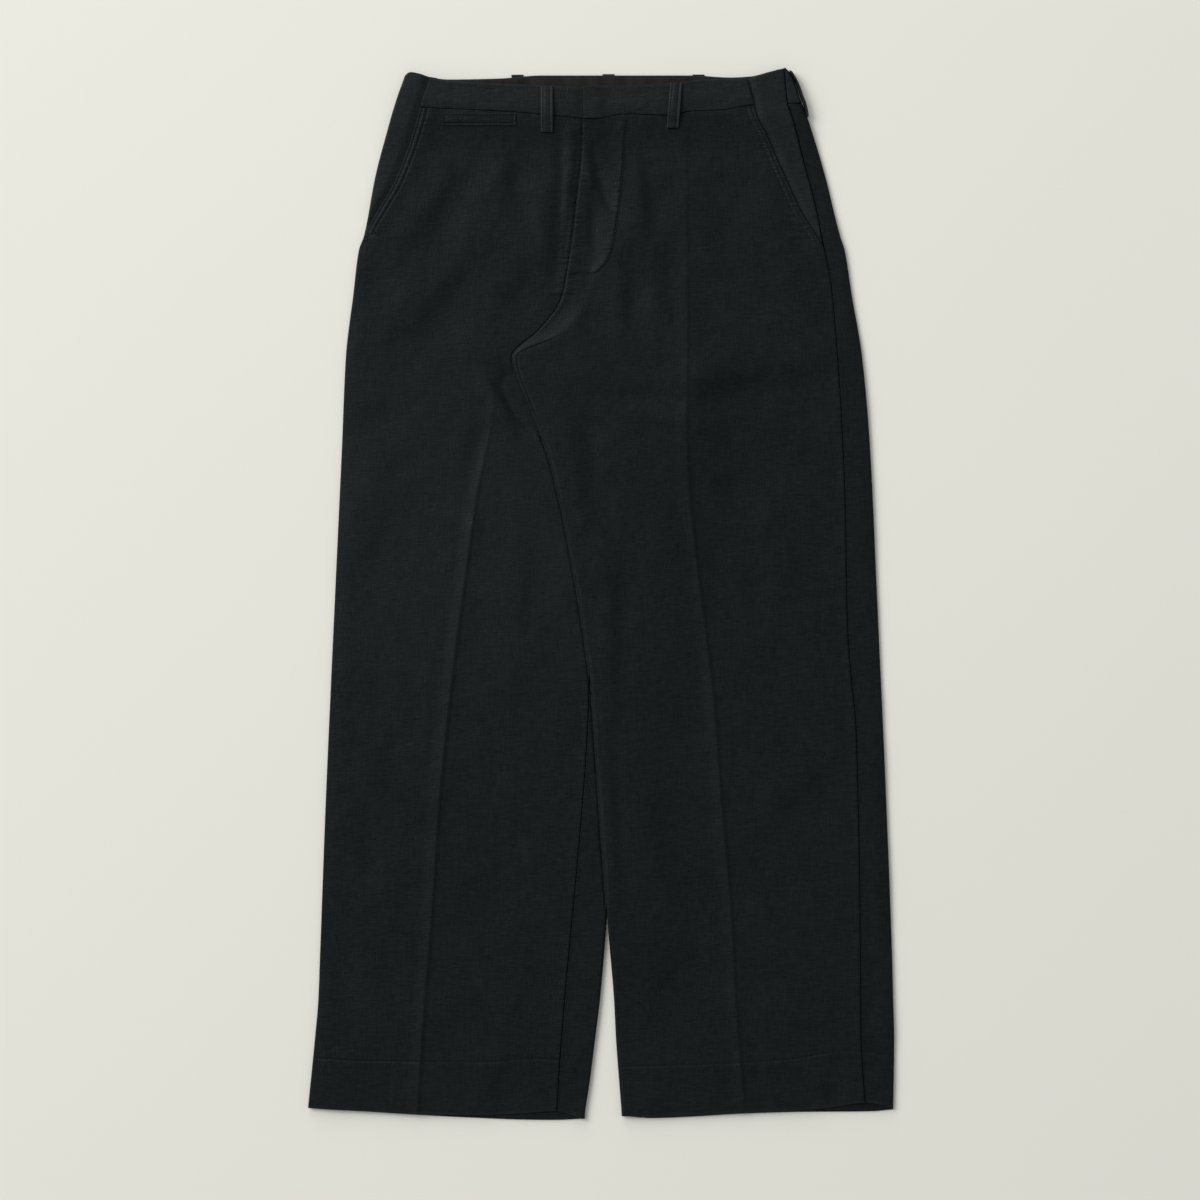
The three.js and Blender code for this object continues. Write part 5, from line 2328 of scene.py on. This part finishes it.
        inset = 1.6
        x1, x2 = details.welt_x[0] - inset, details.welt_x[1] + inset
        y1, y2 = details.welt_y[0] - inset, details.welt_y[1] + inset
        rows = [self.along_x(lambda x, y=y: y + 0 * x, x1, x2, level) for y in (y1, y2)]
        ends = [self.along_y(lambda y, x=x: x + 0 * y, y1, y2, level) for x in (x1, x2)]
        return rows + ends


@dataclass
class Studio:
    """Pale floor, soft light from the upper left and the camera straight above."""

    focal: float = 85
    sensor: float = 36
    floor_half: float = 4.0
    floor_drop: float = 0.0004
    sky_strength: float = 0.455
    frame_width: float = 1.2
    centre: tuple[float, float] = (-0.001, -0.0055)

    def build(self) -> None:
        """Makes floor, light and camera."""
        self.floor()
        self.light("key", (-7.3, 4.4, 6.5), 6.1, 910)
        self.light("window", (-1.6, 6.4, 2.4), 3.0, 150)
        self.sky()
        self.camera()

    def floor(self) -> None:
        """A plain pale floor, just below the cloth."""
        bm = bmesh.new()
        bmesh.ops.create_grid(bm, x_segments=1, y_segments=1, size=self.floor_half)
        bmesh.ops.translate(bm, verts=bm.verts, vec=(0, 0, -self.floor_drop))
        mesh = bpy.data.meshes.new("floor")
        bm.to_mesh(mesh)
        bm.free()
        obj = bpy.data.objects.new("floor", mesh)
        bpy.context.scene.collection.objects.link(obj)
        shader = Shader("pale_floor")
        cloud = shader.noise((1.2, 1.2, 1.2), detail=2.0)
        shader.connect(
            shader.surface.inputs["Base Color"],
            shader.blend(cloud * 0.4, linear(228, 227, 219), linear(223, 221, 212)),
        )
        shader.surface.inputs["Roughness"].default_value = 0.85
        shader.surface.inputs["Specular IOR Level"].default_value = 0.2
        obj.data.materials.append(shader.material)

    def light(self, name: str, place: tuple[float, float, float], size: float, power: float) -> None:
        """A square soft light that faces the trousers.

        Args:
            name: Its name.
            place: Where it is.
            size: Its side.
            power: Its power.
        """
        data = bpy.data.lights.new(name, "AREA")
        data.energy = power
        data.size = size
        obj = bpy.data.objects.new(name, data)
        obj.location = place
        obj.rotation_euler = (Vector((0, 0, 0)) - Vector(place)).to_track_quat("-Z", "Y").to_euler()
        bpy.context.scene.collection.objects.link(obj)

    def sky(self) -> None:
        """Even light from all round."""
        world = bpy.data.worlds.new("sky")
        world.use_nodes = True
        background = next(n for n in world.node_tree.nodes if n.type == "BACKGROUND")
        background.inputs["Color"].default_value = linear(252, 252, 250)
        background.inputs["Strength"].default_value = self.sky_strength
        bpy.context.scene.world = world

    def camera(self) -> None:
        """The camera looks straight down on the middle of the frame."""
        data = bpy.data.cameras.new("camera")
        data.lens = self.focal
        data.sensor_width = self.sensor
        obj = bpy.data.objects.new("camera", data)
        obj.location = (*self.centre, self.frame_width * self.focal / self.sensor)
        bpy.context.scene.collection.objects.link(obj)
        bpy.context.scene.camera = obj
        bpy.context.scene.view_settings.view_transform = "Standard"


def main() -> None:
    """Builds the dressed trousers and their setting."""
    logging.basicConfig(level=logging.INFO, format="%(name)s %(message)s")
    cloths = Cloths()
    legs, sides, band = Legs(cloths), Sides(cloths), Waistband(cloths)
    details, loops = FrontDetails(cloths), BeltLoops(cloths)
    for part in (legs, sides, band, details, loops):
        part.build()
    Stitching(cloths).build(band, loops, details)
    Studio().build()


if __name__ == "__main__":
    main()
